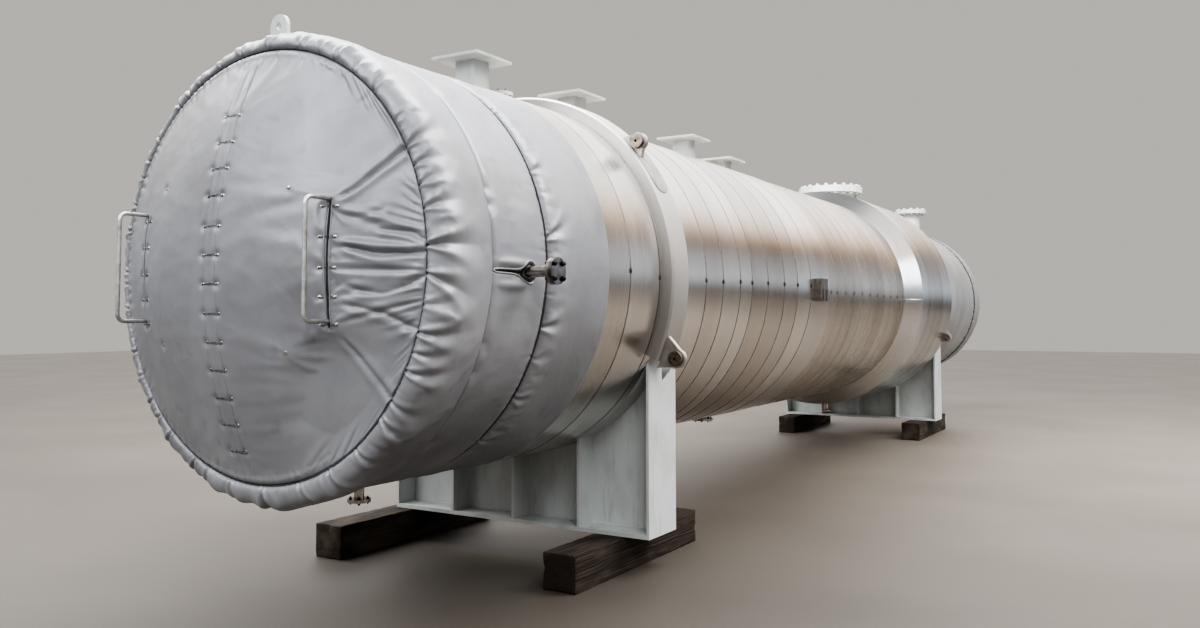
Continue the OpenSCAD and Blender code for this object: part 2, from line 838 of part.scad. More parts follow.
shell();
front_cover();
rear_cover();
front_pad();
front_rim_roll();
channel_blanket();
collar_blanket();
cover_handles();
lifting_lug();
side_nozzles();
side_blinds();
front_cladding();
lug_ring();
ring_lugs();
main_cladding();
plain_cladding();
belt_cladding();
belt_lugs();
rear_cladding();
rear_blanket();
rear_rim_roll();
rear_pad();
post_1();
post_2();
post_3();
post_4();
vent_nozzle();
inlet_nozzle();
inlet_cover();
rear_nozzle();
rear_nozzle_cover();
drains();
nameplate_bracket();
front_saddle_pad();
front_saddle_web();
front_saddle_ribs();
front_saddle_base();
rear_saddle_pad();
rear_saddle_web();
rear_saddle_ribs();
rear_saddle_base();
near_front_timber();
far_front_timber();
near_rear_timber();
far_rear_timber();
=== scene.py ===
# %% [markdown]
# # A lagged shell and tube heat exchanger
#
# The imported solids are loaded first and never change. Everything below either gives one of
# them a finish, or adds a piece to it in the same metres.

# %% Load the solids
import bpy, math, random, time
from mathutils import Matrix, Vector, noise
from mathutils.bvhtree import BVHTree
import numpy as np


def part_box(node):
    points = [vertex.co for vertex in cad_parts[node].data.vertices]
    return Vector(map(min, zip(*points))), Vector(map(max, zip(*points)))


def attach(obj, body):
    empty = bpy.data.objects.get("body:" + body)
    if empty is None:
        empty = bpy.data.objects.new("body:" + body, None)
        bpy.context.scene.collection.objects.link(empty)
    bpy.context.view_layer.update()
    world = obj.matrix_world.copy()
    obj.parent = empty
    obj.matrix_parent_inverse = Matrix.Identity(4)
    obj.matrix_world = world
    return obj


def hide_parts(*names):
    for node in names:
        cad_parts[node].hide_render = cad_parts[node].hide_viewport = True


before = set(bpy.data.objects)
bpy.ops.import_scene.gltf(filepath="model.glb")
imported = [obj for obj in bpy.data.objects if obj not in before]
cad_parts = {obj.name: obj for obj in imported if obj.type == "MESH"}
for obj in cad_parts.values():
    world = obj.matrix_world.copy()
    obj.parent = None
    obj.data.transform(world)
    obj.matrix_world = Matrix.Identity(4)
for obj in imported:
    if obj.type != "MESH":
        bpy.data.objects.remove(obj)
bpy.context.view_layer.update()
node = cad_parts

# %% [markdown]
# ## Where things are
#
# Every place comes from the solids' own boxes. `along` is a distance in millimetres from
# the front seam, which is how a drawing of the vessel would give it, and the axis is the
# middle of the shell.

# %% Places on the vessel
MM = 0.001
seam_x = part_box("front_rim_roll")[0].x
axis_z = (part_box("shell")[0].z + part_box("shell")[1].z) / 2
shell_r = (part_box("shell")[1].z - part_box("shell")[0].z) / 2
clad_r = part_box("main_cladding")[1].z - axis_z
belt_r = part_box("belt_cladding")[1].z - axis_z
ring_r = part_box("lug_ring")[1].z - axis_z
def along(mm):
    return seam_x + mm * MM
def on_round(x, angle, r):
    """The point at x, with the angle measured from the near side upwards."""
    a = math.radians(angle)
    return Vector((x, -r * math.cos(a), axis_z + r * math.sin(a)))
print(f"axis at {axis_z:.3f} m, shell {shell_r:.3f}, cladding {clad_r:.3f}, belt {belt_r:.3f}")

# %% [markdown]
# ## Camera
#
# The photo was taken at eye height beside the front cover. The lens and place come from a
# fit of the round seams, saddles and timbers. A small downward shift does what the crop
# of the photo did, so that upright edges stay upright.

# %% Camera
cam_data = bpy.data.cameras.new("camera")
cam = bpy.data.objects.new("camera", cam_data)
bpy.context.scene.collection.objects.link(cam)
cam_data.sensor_width = 36.0
cam_data.lens = 28.894
cam_data.shift_y = -0.03782
cam_data.clip_end = 200
look = Vector((0.85450, 0.51683, 0.05213)).normalized()
cam.location = (seam_x - 3.4704, -4.2315, axis_z - 0.2884)
cam.rotation_mode = "QUATERNION"
cam.rotation_quaternion = look.to_track_quat("-Z", "Y")
cam.rotation_quaternion = cam.rotation_quaternion @ Matrix.Rotation(math.radians(-0.057), 3,
    "Z").to_quaternion()
bpy.context.scene.camera = cam
print("camera at", [round(v, 3) for v in cam.location])

# %% [markdown]
# ## Floor and light
#
# A plain pale floor carries the timbers. The hall in the photo has a bright roof, tan
# walls and a dark lower wall, and polished sheet shows little else than what is round it.
# So the surroundings are a soft gradient by height, and the camera itself sees only a plain
# pale backdrop. One large soft lamp stands in for the roof. Three smaller ones stand for a
# bright opening before the front end, the roof over it, and the windows on the near side.

# %% Floor, surroundings and lamps
def lin(h):
    """An sRGB hex colour as linear RGBA."""
    c = [int(h[i:i + 2], 16) / 255 for i in (1, 3, 5)]
    return tuple(v / 12.92 if v <= 0.04045 else ((v + 0.055) / 1.055) ** 2.4 for v in c) + (1.0,)
def put(tree, kind, settings=None, **links):
    """Adds a node. Settings are its own properties; links are input sockets, by name or number."""
    made = tree.nodes.new(kind)
    for k, v in (settings or {}).items():
        setattr(made, k, v)
    for k, v in links.items():
        socket = made.inputs[int(k[1:])] if k[0] == "_" else made.inputs[k.replace("_", " ")]
        if isinstance(v, bpy.types.NodeSocket):
            tree.links.new(v, socket)
        else:
            socket.default_value = v
    return made
bpy.ops.object.select_all(action="DESELECT")
bpy.ops.mesh.primitive_plane_add(size=90, location=(0, 0, 0))
floor = bpy.context.object
floor.name = "floor"
floor_mat = bpy.data.materials.new("sealed_concrete")
floor_mat.use_nodes = True
ft = floor_mat.node_tree
floor_shader = ft.nodes["Principled BSDF"]
floor_at = put(ft, "ShaderNodeTexCoord").outputs["Object"]
trowel = put(ft, "ShaderNodeTexNoise", Vector=floor_at, Scale=0.5, Detail=7.0).outputs["Fac"]
floor_tone = put(ft, "ShaderNodeValToRGB", Fac=trowel)
floor_tone.color_ramp.elements[0].position, floor_tone.color_ramp.elements[0].color = 0.3, lin("#665f57")
floor_tone.color_ramp.elements[1].position, floor_tone.color_ramp.elements[1].color = 0.7, lin("#726b62")
# Painted shade on the floor: its tone drops to half towards the front and rises a little behind.
wear_and_shade = put(ft, "ShaderNodeMapRange", Value=put(ft, "ShaderNodeSeparateXYZ", Vector=floor_at).outputs["X"],
    _1=-5.0, _2=4.0, _3=0.50, _4=1.12).outputs[0]
ft.links.new(put(ft, "ShaderNodeVectorMath", {"operation": "SCALE"}, _0=floor_tone.outputs[0],
    _3=wear_and_shade).outputs[0], floor_shader.inputs["Base Color"])
floor_shader.inputs["Roughness"].default_value = 0.55
floor.data.materials.append(floor_mat)
world = bpy.data.worlds.new("hall")
bpy.context.scene.world = world
world.use_nodes = True
wt = world.node_tree
wt.nodes.clear()
coord = put(wt, "ShaderNodeTexCoord")
height = put(wt, "ShaderNodeSeparateXYZ", Vector=coord.outputs["Generated"])
def wall(*stops):
    """The tone of a wall by height: pairs of the sine of the elevation and a colour."""
    ramp = put(wt, "ShaderNodeValToRGB", Fac=height.outputs["Z"])
    while len(ramp.color_ramp.elements) < len(stops):
        ramp.color_ramp.elements.new(0.5)
    for spot, (place, colour) in zip(ramp.color_ramp.elements, stops):
        spot.position = place
        spot.color = lin(colour)
    return ramp.outputs["Color"]
near_wall = wall((0.0, "#433f3b"), (0.02, "#80868d"), (0.06, "#a4a8ae"), (0.12, "#8b8e92"),
    (0.17, "#85868a"), (0.24, "#5f5750"), (0.31, "#7c6a5b"), (0.39, "#c4aa90"), (0.48, "#cfc0b1"),
    (0.60, "#b5b1ac"), (0.80, "#dadada"), (0.93, "#c0c1c2"), (1.0, "#8c8d8f"))
rear_wall = wall((0.0, "#433f3b"), (0.02, "#777c83"), (0.06, "#93989e"), (0.12, "#7d7c7d"),
    (0.20, "#786f69"), (0.24, "#a38d7a"), (0.28, "#f3dcc6"), (0.33, "#ffffff"), (0.55, "#ffffff"),
    (0.75, "#8e8f91"), (1.0, "#6c6d6f"))
door_wall = wall((0.0, "#2f2d2b"), (0.05, "#6d6a68"), (0.20, "#8f8e8e"), (0.40, "#cdced0"),
    (0.70, "#f0f2f4"), (1.0, "#7d7e80"))
across = put(wt, "ShaderNodeMapRange", Value=height.outputs["Y"], _1=-0.36, _2=-0.12).outputs[0]
ahead = put(wt, "ShaderNodeMapRange", Value=height.outputs["X"], _1=-0.2, _2=0.4, _3=0.25, _4=1.0).outputs[0]
share = put(wt, "ShaderNodeMath", {"operation": "MULTIPLY"}, _0=across, _1=ahead).outputs[0]
hall = put(wt, "ShaderNodeMix", {"data_type": "RGBA"}, _0=share, _6=near_wall, _7=rear_wall).outputs[2]
behind = put(wt, "ShaderNodeMapRange", Value=height.outputs["X"], _1=-0.10, _2=-0.45).outputs[0]
hall = put(wt, "ShaderNodeMix", {"data_type": "RGBA"}, _0=behind, _6=hall, _7=door_wall).outputs[2]
ray = put(wt, "ShaderNodeLightPath")
seen = put(wt, "ShaderNodeBackground", Color=lin("#c9c5bf"), Strength=0.75)
around = put(wt, "ShaderNodeBackground", Color=hall, Strength=1.9)
both = put(wt, "ShaderNodeMixShader", _0=ray.outputs["Is Camera Ray"], _1=around.outputs[0],
    _2=seen.outputs[0])
put(wt, "ShaderNodeOutputWorld", Surface=both.outputs[0])
def lamp(name, place, target, size, watts, colour="#ffffff"):
    data = bpy.data.lights.new(name, "AREA")
    data.shape = "RECTANGLE"
    data.size, data.size_y = size
    data.energy = watts
    data.color = lin(colour)[:3]
    o = bpy.data.objects.new(name, data)
    bpy.context.scene.collection.objects.link(o)
    o.location = place
    o.rotation_euler = (Vector(target) - Vector(place)).to_track_quat("-Z", "Y").to_euler()
    return o
lamp("roof", (-3, -0.5, 10.5), (-2.5, -0.3, 0), (28, 5), 5000)
lamp("front_window", (-16, 3, 8), (-6, 0, 2), (7, 5), 560, "#f3f6fa")
lamp("front_roof", (-12, -7, 9.5), (-7.2, -0.6, 2.2), (5, 5), 520, "#f3f6fa")
lamp("near_windows", (6.0, -14, 6.6), (1.9, -1.3, 2.2), (4.6, 4.4), 350, "#e6f0ff")
bpy.context.scene.view_settings.look = "AgX - High Contrast"


# %% [markdown]
# ## Finishes
#
# Each finish is named for the real material and how its surface was made. Patterns read
# Object coordinates in metres, so a size in millimetres is a scale of 1000 over it.

# %% A helper for a finish
def finish(name, colour, metallic, rough):
    """A new material. Gives its node tree, shader and an Object-coordinate socket."""
    m = bpy.data.materials.new(name)
    m.use_nodes = True
    t = m.node_tree
    s = t.nodes["Principled BSDF"]
    s.inputs["Base Color"].default_value = lin(colour)
    s.inputs["Metallic"].default_value = metallic
    s.inputs["Roughness"].default_value = rough
    return m, t, s, put(t, "ShaderNodeTexCoord").outputs["Object"]
def blotches(t, where, size_mm, detail=3.0, stretch=(1, 1, 1), distort=0.0):
    """Noise whose blotches are about size_mm across, or longer along a stretched axis."""
    k = 1000 / size_mm
    grid = put(t, "ShaderNodeMapping", Vector=where, Scale=(k / stretch[0], k / stretch[1], k / stretch[2]))
    return put(t, "ShaderNodeTexNoise", Vector=grid.outputs[0], Scale=1.0, Detail=detail,
        Distortion=distort).outputs["Fac"]
def ramp_of(t, value, *stops, steps=False):
    """A colour ramp: pairs of place and sRGB hex."""
    r = put(t, "ShaderNodeValToRGB", Fac=value)
    r.color_ramp.interpolation = "CONSTANT" if steps else "LINEAR"
    while len(r.color_ramp.elements) < len(stops):
        r.color_ramp.elements.new(0.5)
    for e, (place, colour) in zip(r.color_ramp.elements, stops):
        e.position = place
        e.color = lin(colour)
    return r.outputs["Color"]
def spread(t, value, low, high, start=0.3, end=0.7):
    """Maps a value onto low to high."""
    return put(t, "ShaderNodeMapRange", Value=value, _1=start, _2=end, _3=low, _4=high).outputs[0]
def blend_colour(t, how, amount, a, b):
    return put(t, "ShaderNodeMix", {"data_type": "RGBA", "blend_type": how}, _0=amount, _6=a, _7=b).outputs[2]
def relief(t, s, *layers):
    """Bump layers: pairs of height socket and depth in millimetres."""
    normal = None
    for value, deep in layers:
        links = {"Height": value, "Distance": deep * MM, "Strength": 1.0}
        if normal:
            links["Normal"] = normal
        normal = put(t, "ShaderNodeBump", **links).outputs[0]
    t.links.new(normal, s.inputs["Normal"])
print("finish helpers ready")

# %% [markdown]
# ### Silver-coated glass cloth
#
# The jackets are plain-woven glass cloth with a silver silicone coat. The coat gives a satin
# gloss over a soft grey. Fine crinkles run all over it, handling has left darker smudges,
# and the weave itself is 1 mm, drawn here at 5 mm so that it still shows close up.

# %% Jacket cloth
def jacket_cloth(name, colour, smudge, light):
    m, t, s, where = finish(name, colour, 0.25, 0.44)
    smears = blotches(t, where, 620, 3, (1, 1, 1.8), 0.4)
    tone = ramp_of(t, smears, (0.34, smudge), (0.52, colour), (0.72, light))
    marks = blotches(t, where, 90, 6, (1, 1, 1.4), 0.3)
    dirty = ramp_of(t, marks, (0.26, "#c9c7c6"), (0.38, "#ffffff"))
    t.links.new(blend_colour(t, "MULTIPLY", 0.35, tone, dirty), s.inputs["Base Color"])
    t.links.new(spread(t, blotches(t, where, 210, 3), 0.38, 0.50), s.inputs["Roughness"])
    weave = put(t, "ShaderNodeTexVoronoi", {"feature": "F1", "distance": "CHEBYCHEV"}, Vector=where,
        Scale=200.0).outputs["Distance"]
    relief(t, s, (weave, 0.12), (blotches(t, where, 38, 2, (1, 1, 1), 1.0), 0.55),
        (blotches(t, where, 190, 2, distort=0.8), 3.2))
    return m
cloth = jacket_cloth("silver_glass_cloth", "#8f9094", "#828286", "#9c9da1")
rear_cloth = jacket_cloth("silver_glass_cloth_rear", "#9d9d9d", "#8f8f90", "#abaaaa")
print("cloths:", cloth.name, rear_cloth.name)

# %% [markdown]
# ### Rolled cladding sheet
#
# The lagging is held by mill-finished aluminium sheet, wrapped round in strips. Rolling
# leaves fine lines round the vessel. Thin sheet never lies quite true, so it mirrors the
# hall in slow waves, and each strip comes out a little lighter or duller than the next. The
# front cone of the belt is new sheet, brighter than the rest.

# %% Cladding sheet
def cladding_sheet(name, light, dull, rough, edges, wave=520, waver=1.0):
    """edges are the places of the strips' edges, in millimetres from the front seam."""
    m, t, s, where = finish(name, light, 1.0, rough)
    x = put(t, "ShaderNodeSeparateXYZ", Vector=where).outputs["X"]
    start, end = edges[0], edges[-1]
    along_strip = put(t, "ShaderNodeMapRange", Value=x, _1=along(start), _2=along(end), _3=0.0,
        _4=1.0).outputs[0]
    rng = random.Random(int(start) + len(edges))
    tones = []
    for e in edges[:-1]:
        k = rng.random()
        mix = [int(int(light[i:i + 2], 16) * k + int(dull[i:i + 2], 16) * (1 - k)) for i in (1, 3, 5)]
        tones.append(((e - start) / (end - start), "#%02x%02x%02x" % tuple(mix)))
    strip = ramp_of(t, along_strip, *tones, steps=True)
    haze = ramp_of(t, blotches(t, where, 420, 4, (1, 3, 3)), (0.35, "#e4e2df"), (0.60, "#ffffff"))
    t.links.new(blend_colour(t, "MULTIPLY", 0.5, strip, haze), s.inputs["Base Color"])
    lines = blotches(t, where, 2.5, 2, (1, 260, 260))
    stain = blotches(t, where, 160, 3, (1, 4, 4))
    t.links.new(put(t, "ShaderNodeMath", {"operation": "ADD"},
        _0=spread(t, lines, rough - 0.02, rough + 0.03),
                    _1=spread(t, stain, -0.02, 0.02)).outputs[0], s.inputs["Roughness"])
    relief(t, s, (lines, 0.02), (blotches(t, where, 85, 1, (1, 3, 3)), 0.35 * waver),
        (blotches(t, where, wave, 1, (1, 1.5, 1.5)), 2.6 * waver))
    return m
bands = [1806, 2201, 2932, 3237, 3566, 3808, 4156, 4543, 4882, 5244]
plain_laps = [6064, 6360, 6650, 6950, 7250, 7545, 7845, 8140, 8430, 8724]
main_start_mm = 2470
plain_start_mm = 5790
belt_start_mm = 8783
front_sheet = cladding_sheet("rolled_aluminium_front", "#e3e1de", "#c9c5c0", 0.25, [1539, 1806, 2201, 2470])
main_sheet = cladding_sheet("rolled_aluminium_main", "#e0dcd8", "#c6c0ba", 0.22,
    [main_start_mm] + bands[2:] + [5480, plain_start_mm])
plain_sheet = cladding_sheet("rolled_aluminium_plain", "#d5cfc8", "#c2bab2", 0.26,
    [plain_start_mm] + plain_laps + [8800])
belt_sheet = cladding_sheet("rolled_aluminium_belt", "#dfe1e4", "#bfbbb7", 0.24,
    [belt_start_mm, 9060, 9400, 9820, 10240, 10660, 11000])
rear_sheet = cladding_sheet("rolled_aluminium_rear", "#b9b3ad", "#a59e98", 0.25, [10999, 11170, 11340, 11500])
ring_sheet = cladding_sheet("rolled_aluminium_ring", "#d6d4d1", "#bcb9b5", 0.50, [2400, 2560, 2800], 300, 1.0)
print("sheets:", [m.name for m in bpy.data.materials if "rolled" in m.name])

# %% [markdown]
# ### Paint, bare steel, rod and fasteners
#
# The saddles, posts and large flanges have a light grey epoxy coat, sprayed, with a faint
# orange peel and dust in it. The tie lugs and small nozzles are bare steel, turned or
# ground. The handles are zinc-dipped rod. Bolts are black from rolling.

# %% Paint and steel
def sprayed_epoxy(name, colour, dusty):
    m, t, s, where = finish(name, colour, 0.0, 0.46)
    dust = blotches(t, where, 240, 5, (1, 1, 2))
    streak = blotches(t, where, 26, 4, (1, 1, 9))
    base = ramp_of(t, dust, (0.33, dusty), (0.56, colour))
    runs = ramp_of(t, streak, (0.25, "#d2cfc9"), (0.42, "#ffffff"))
    t.links.new(blend_colour(t, "MULTIPLY", 0.5, base, runs), s.inputs["Base Color"])
    t.links.new(spread(t, blotches(t, where, 120), 0.38, 0.56), s.inputs["Roughness"])
    relief(t, s, (blotches(t, where, 6, 1), 0.12), (blotches(t, where, 180, 2), 0.8))
    return m
def bare_steel(name, colour, stained, rough, metallic=1.0, grain=(1, 1, 1)):
    m, t, s, where = finish(name, colour, metallic, rough)
    t.links.new(ramp_of(t, blotches(t, where, 48, 5), (0.34, stained), (0.60, colour)),
        s.inputs["Base Color"])
    t.links.new(spread(t, blotches(t, where, 14, 4), rough - 0.08, rough + 0.12), s.inputs["Roughness"])
    relief(t, s, (blotches(t, where, 3, 2, grain), 0.06), (blotches(t, where, 22, 3), 0.25))
    return m
paint = sprayed_epoxy("sprayed_grey_epoxy", "#c3c7c6", "#b1b3b0")
flange_paint = sprayed_epoxy("sprayed_pale_epoxy", "#d8d9d6", "#c5c4bf")
# The posts get the same grey epoxy painted darker, a painted shade.
post_paint_shaded = sprayed_epoxy("sprayed_grey_epoxy_shaded", "#b4b7b5", "#a3a6a4")
def turned_in_plate(name, middle_mm):
    """Bare turned boss in a duller plate: the plate is the 40 mm next to its middle plane."""
    m, t, s, where = finish(name, "#9b9087", 1.0, 0.42)
    x = put(t, "ShaderNodeSeparateXYZ", Vector=where).outputs["X"]
    off = put(t, "ShaderNodeMath", {"operation": "COMPARE"}, _0=x, _1=along(middle_mm), _2=0.021).outputs[0]
    boss = ramp_of(t, blotches(t, where, 30, 5), (0.34, "#6b6057"), (0.62, "#978b81"))
    plate = ramp_of(t, blotches(t, where, 60, 4), (0.34, "#a9a49f"), (0.62, "#c2beb9"))
    t.links.new(blend_colour(t, "MIX", off, boss, plate), s.inputs["Base Color"])
    t.links.new(put(t, "ShaderNodeMapRange", Value=off, _3=0.40, _4=0.50).outputs[0], s.inputs["Roughness"])
    relief(t, s, (blotches(t, where, 3, 2), 0.06), (blotches(t, where, 22, 3), 0.25))
    return m
ring_lug_steel = turned_in_plate("turned_boss_in_ring_plate", 2304)
belt_lug_steel = turned_in_plate("turned_boss_in_belt_plate", 10829)
nozzle_steel = bare_steel("turned_stainless_steel", "#b9b1a8", "#8d857c", 0.27)
blind_steel = bare_steel("forged_stainless_steel", "#8f8b88", "#5f5b59", 0.20)
mill_steel = bare_steel("mill_scale_steel", "#5b5754", "#43403e", 0.55, 0.7)
zinc_rod = bare_steel("zinc_dipped_rod", "#d2d2d0", "#b1b0ad", 0.46)
black_bolt = bare_steel("black_bolt_steel", "#4a4a4c", "#2d2c2c", 0.40)
strap_steel = bare_steel("rolled_strap_steel", "#8c8782", "#6f6a66", 0.40)
plate_steel = bare_steel("brushed_plate_steel", "#a09c98", "#88847f", 0.50)
dark_plate = bare_steel("blackened_plate", "#3a3836", "#2a2827", 0.5, 0.6)
wire_steel = bare_steel("annealed_tie_wire", "#77777a", "#4f4e4f", 0.45)
def braided_cord(name, colour, groove_shade):
    m, t, s, where = finish(name, colour, 0.0, 0.7)
    twist = put(t, "ShaderNodeTexWave", {"wave_type": "BANDS", "bands_direction": "DIAGONAL"}, Vector=where,
        Scale=60.0, Distortion=1.0).outputs["Fac"]
    # Painted shade: the grooves of the twist are coloured darker than the strands.
    t.links.new(ramp_of(t, twist, (0.2, groove_shade), (0.8, colour)), s.inputs["Base Color"])
    relief(t, s, (twist, 0.8))
    return m
cord_finish = braided_cord("braided_glass_cord", "#5c5c60", "#363537")
dark_gap = braided_cord("mineral_wool_in_shade", "#2b2a2a", "#1a1919")
pin_steel = bare_steel("nickel_plated_pin", "#cfcfce", "#a9a7a3", 0.25)
print("paint and steel:", len(bpy.data.materials), "materials so far")

# %% [markdown]
# ### Creosoted timber
#
# Old railway-type baulks, sawn and soaked in creosote: nearly black, browner where worn and
# grey-green on the cut ends. Growth rings are cylinders round the pith, so rings measured
# from one long line give straight grain on the sides and arcs on the ends at once.

# %% Timber
def creosoted_timber(name, pith_y, pith_z):
    m, t, s, where = finish(name, "#3b2f27", 0.0, 0.85)
    bent = put(t, "ShaderNodeVectorMath", {"operation": "MULTIPLY_ADD"},
        _0=put(t, "ShaderNodeTexNoise", Vector=where, Scale=1.6, Detail=2.0).outputs["Color"],
               _1=(0.0, 0.05, 0.05), _2=where).outputs[0]
    flat = put(t, "ShaderNodeMapping", Vector=bent, Location=(0.0, -pith_y, -pith_z),
        Scale=(0.03, 1.0, 1.0)).outputs[0]
    rings = put(t, "ShaderNodeTexWave", {"wave_type": "RINGS", "rings_direction": "X"}, Vector=flat,
        Scale=26.0, Distortion=2.5, Detail=3.0).outputs["Fac"]
    fibre = blotches(t, where, 7, 4, (60, 1, 1))
    wear_and_shade = blotches(t, where, 210, 5, (3, 1, 1))
    wood = ramp_of(t, fibre, (0.28, "#1b1512"), (0.50, "#33281f"), (0.72, "#5a4a3b"))
    grain = ramp_of(t, rings, (0.0, "#6d6258"), (1.0, "#ffffff"))
    base = blend_colour(t, "MULTIPLY", 0.7, wood, grain)
    aged = blend_colour(t, "MIX", spread(t, wear_and_shade, 0.0, 0.55, 0.50, 0.72), base, lin("#6b6253"))
    t.links.new(aged, s.inputs["Base Color"])
    crack = blotches(t, where, 16, 3, (45, 1, 1), 0.4)
    relief(t, s, (fibre, 1.2), (rings, 0.8), (ramp_of(t, crack, (0.30, "#000000"), (0.36, "#ffffff")), 4.0))
    return m
print("timber ready")

# %% Finishes of the solids
sheets = {"front_cladding": front_sheet, "main_cladding": main_sheet, "plain_cladding": plain_sheet,
          "belt_cladding": belt_sheet, "rear_cladding": rear_sheet, "lug_ring": ring_sheet,
          "nameplate_bracket": strap_steel}
steels = {"ring_lugs": ring_lug_steel, "belt_lugs": belt_lug_steel, "side_nozzles": nozzle_steel,
    "side_blinds": blind_steel,
          "cover_handles": zinc_rod, "shell": mill_steel, "front_cover": mill_steel,
          "rear_cover": mill_steel, "drains": nozzle_steel}
for n, o in node.items():
    m = sheets.get(n) or steels.get(n) or (post_paint_shaded if "post" in n else flange_paint if "nozzle" in n
        or "inlet" in n else paint)
    if "blanket" in n or "roll" in n or n in ("front_pad", "rear_pad"):
        m = cloth
    o.data.materials.clear()
    o.data.materials.append(m)
print("finished", len(node), "solids")

# %% [markdown]
# ## Soft covers
#
# The ends of the vessel wear removable jackets: glass cloth with a silver coat, stuffed with
# mineral wool and drawn up on cords. A gather throws folds that no drawn profile has. On the
# real jacket they come from one cause: the cloth is cut flat, so its edge is longer than the
# circle that the cord pulls it to. So each jacket is lofted ring by ring in its sewn shape,
# gets its flat cut as a second shape, and Blender's cloth settles between the two. The cord
# line is held, and a little pressure stands for the stuffing.

# %% Helpers for lofted skins
def bare_scene():
    """Leaves edit mode and deselects everything."""
    if bpy.context.object and bpy.context.object.mode != "OBJECT":
        bpy.ops.object.mode_set(mode="OBJECT")
    bpy.ops.object.select_all(action="DESELECT")
def work_on(o):
    bare_scene()
    bpy.context.view_layer.objects.active = o
    o.select_set(True)
def loft(name, outline, spokes):
    """A skin round the axis. The outline is a list of [x, radius] in metres."""
    bare_scene()
    x, r = outline[0]
    bpy.ops.mesh.primitive_circle_add(vertices=spokes, radius=r, location=(x, 0, axis_z),
        rotation=(0, math.pi / 2, 0))
    o = bpy.context.object
    o.name = name
    bpy.ops.object.transform_apply()
    bpy.ops.object.mode_set(mode="EDIT")
    bpy.ops.mesh.select_all(action="SELECT")
    for x1, r1 in outline[1:]:
        bpy.ops.mesh.extrude_edges_move(TRANSFORM_OT_translate={"value": (x1 - x, 0, 0)})
        bpy.ops.transform.resize(value=(1, r1 / r, r1 / r), center_override=(x1, 0, axis_z))
        x, r = x1, r1
    bpy.ops.object.mode_set(mode="OBJECT")
    girth = 2 * math.pi * max(r for _, r in outline)
    print(f"{name}: {girth:.2f} m round and {arc_length(outline)[-1] * MM:.2f} m along, laid flat")
    return o
def points(o):
    co = np.empty(len(o.data.vertices) * 3)
    o.data.vertices.foreach_get("co", co)
    return co.reshape(-1, 3)
def move_points(o, co):
    o.data.vertices.foreach_set("co", np.ascontiguousarray(co).ravel())
    o.data.update()
def curve_through(corners, step):
    """Points about one step apart on the smooth line through the corners."""
    c = np.array(corners)
    t = np.concatenate([[0], np.cumsum(np.linalg.norm(np.diff(c, axis=0), axis=1))])
    out = []
    for v in np.linspace(0, t[-1], max(2, int(round(t[-1] / step))) + 1):
        k = min(max(np.searchsorted(t, v, side="right") - 1, 0), len(c) - 2)
        p0, p1, p2, p3 = c[max(k - 1, 0)], c[k], c[k + 1], c[min(k + 2, len(c) - 1)]
        u = (v - t[k]) / (t[k + 1] - t[k])
        m1, m2 = (p2 - p0) / 2, (p3 - p1) / 2
        out.append(tuple((2*u**3 - 3*u**2 + 1) * p1 + (u**3 - 2*u**2 + u) * m1 + (3*u**2 - 2*u**3) * p2
            + (u**3 - u**2) * m2))
    return out
def resample(corners, step):
    """The smooth line through corners given as x and radius in millimetres, in metres."""
    return curve_through([(along(x), r * MM) for x, r in corners], step)
def round_the_axis(co):
    """Angle in degrees from the near side upwards, and radius, of each point."""
    return np.degrees(np.arctan2(co[:, 2] - axis_z, -co[:, 1])), np.hypot(co[:, 1], co[:, 2] - axis_z)
def set_radius(co, angle, r):
    a = np.radians(angle)
    co[:, 1], co[:, 2] = -r * np.cos(a), axis_z + r * np.sin(a)
def ripple(angle, seed, wave):
    """Smooth uneven waves round the axis, from -1 to 1. wave is their length in metres."""
    k = 1.2 / wave
    return np.array([noise.noise(Vector((math.cos(math.radians(a)) * k, math.sin(math.radians(a)) * k,
        seed))) for a in angle]) * 1.6
def arc_length(outline):
    """Length in millimetres along an outline, at each of its points."""
    return np.concatenate([[0], np.cumsum(np.linalg.norm(np.diff(np.array(outline), axis=0), axis=1))]) / MM
def push(o, amount):
    """Moves each point of a lofted skin along its normal, outwards for a positive amount."""
    co = points(o)
    out = np.empty(len(co) * 3)
    o.data.vertices.foreach_get("normal", out)
    out = out.reshape(-1, 3)
    radial = co - [0, 0, axis_z]
    radial[:, 0] = 0
    if (out * radial).sum() < 0:
        out = -out
    move_points(o, co + out * amount[:, None])
def pleat(angle, ahead, deg, deep, long, lean=0.0, half=6.0, opens=0.13):
    """One pleat in metres: a sharp valley that opens from its root at a stitch, between two ridges."""
    across = np.radians((angle - deg + 180) % 360 - 180) * 1240 - lean * ahead
    near_root = np.clip(ahead, 0, None)
    wide = half + opens * near_root
    valley = np.exp(-(np.abs(across) / wide) ** 1.3)
    ridges = np.exp(-((np.abs(across) - 2.1 * wide) / (1.1 * wide)) ** 2)
    return deep * MM * (0.6 * ridges - valley) * np.exp(-(near_root / long) ** 2)
print("loft helpers ready")

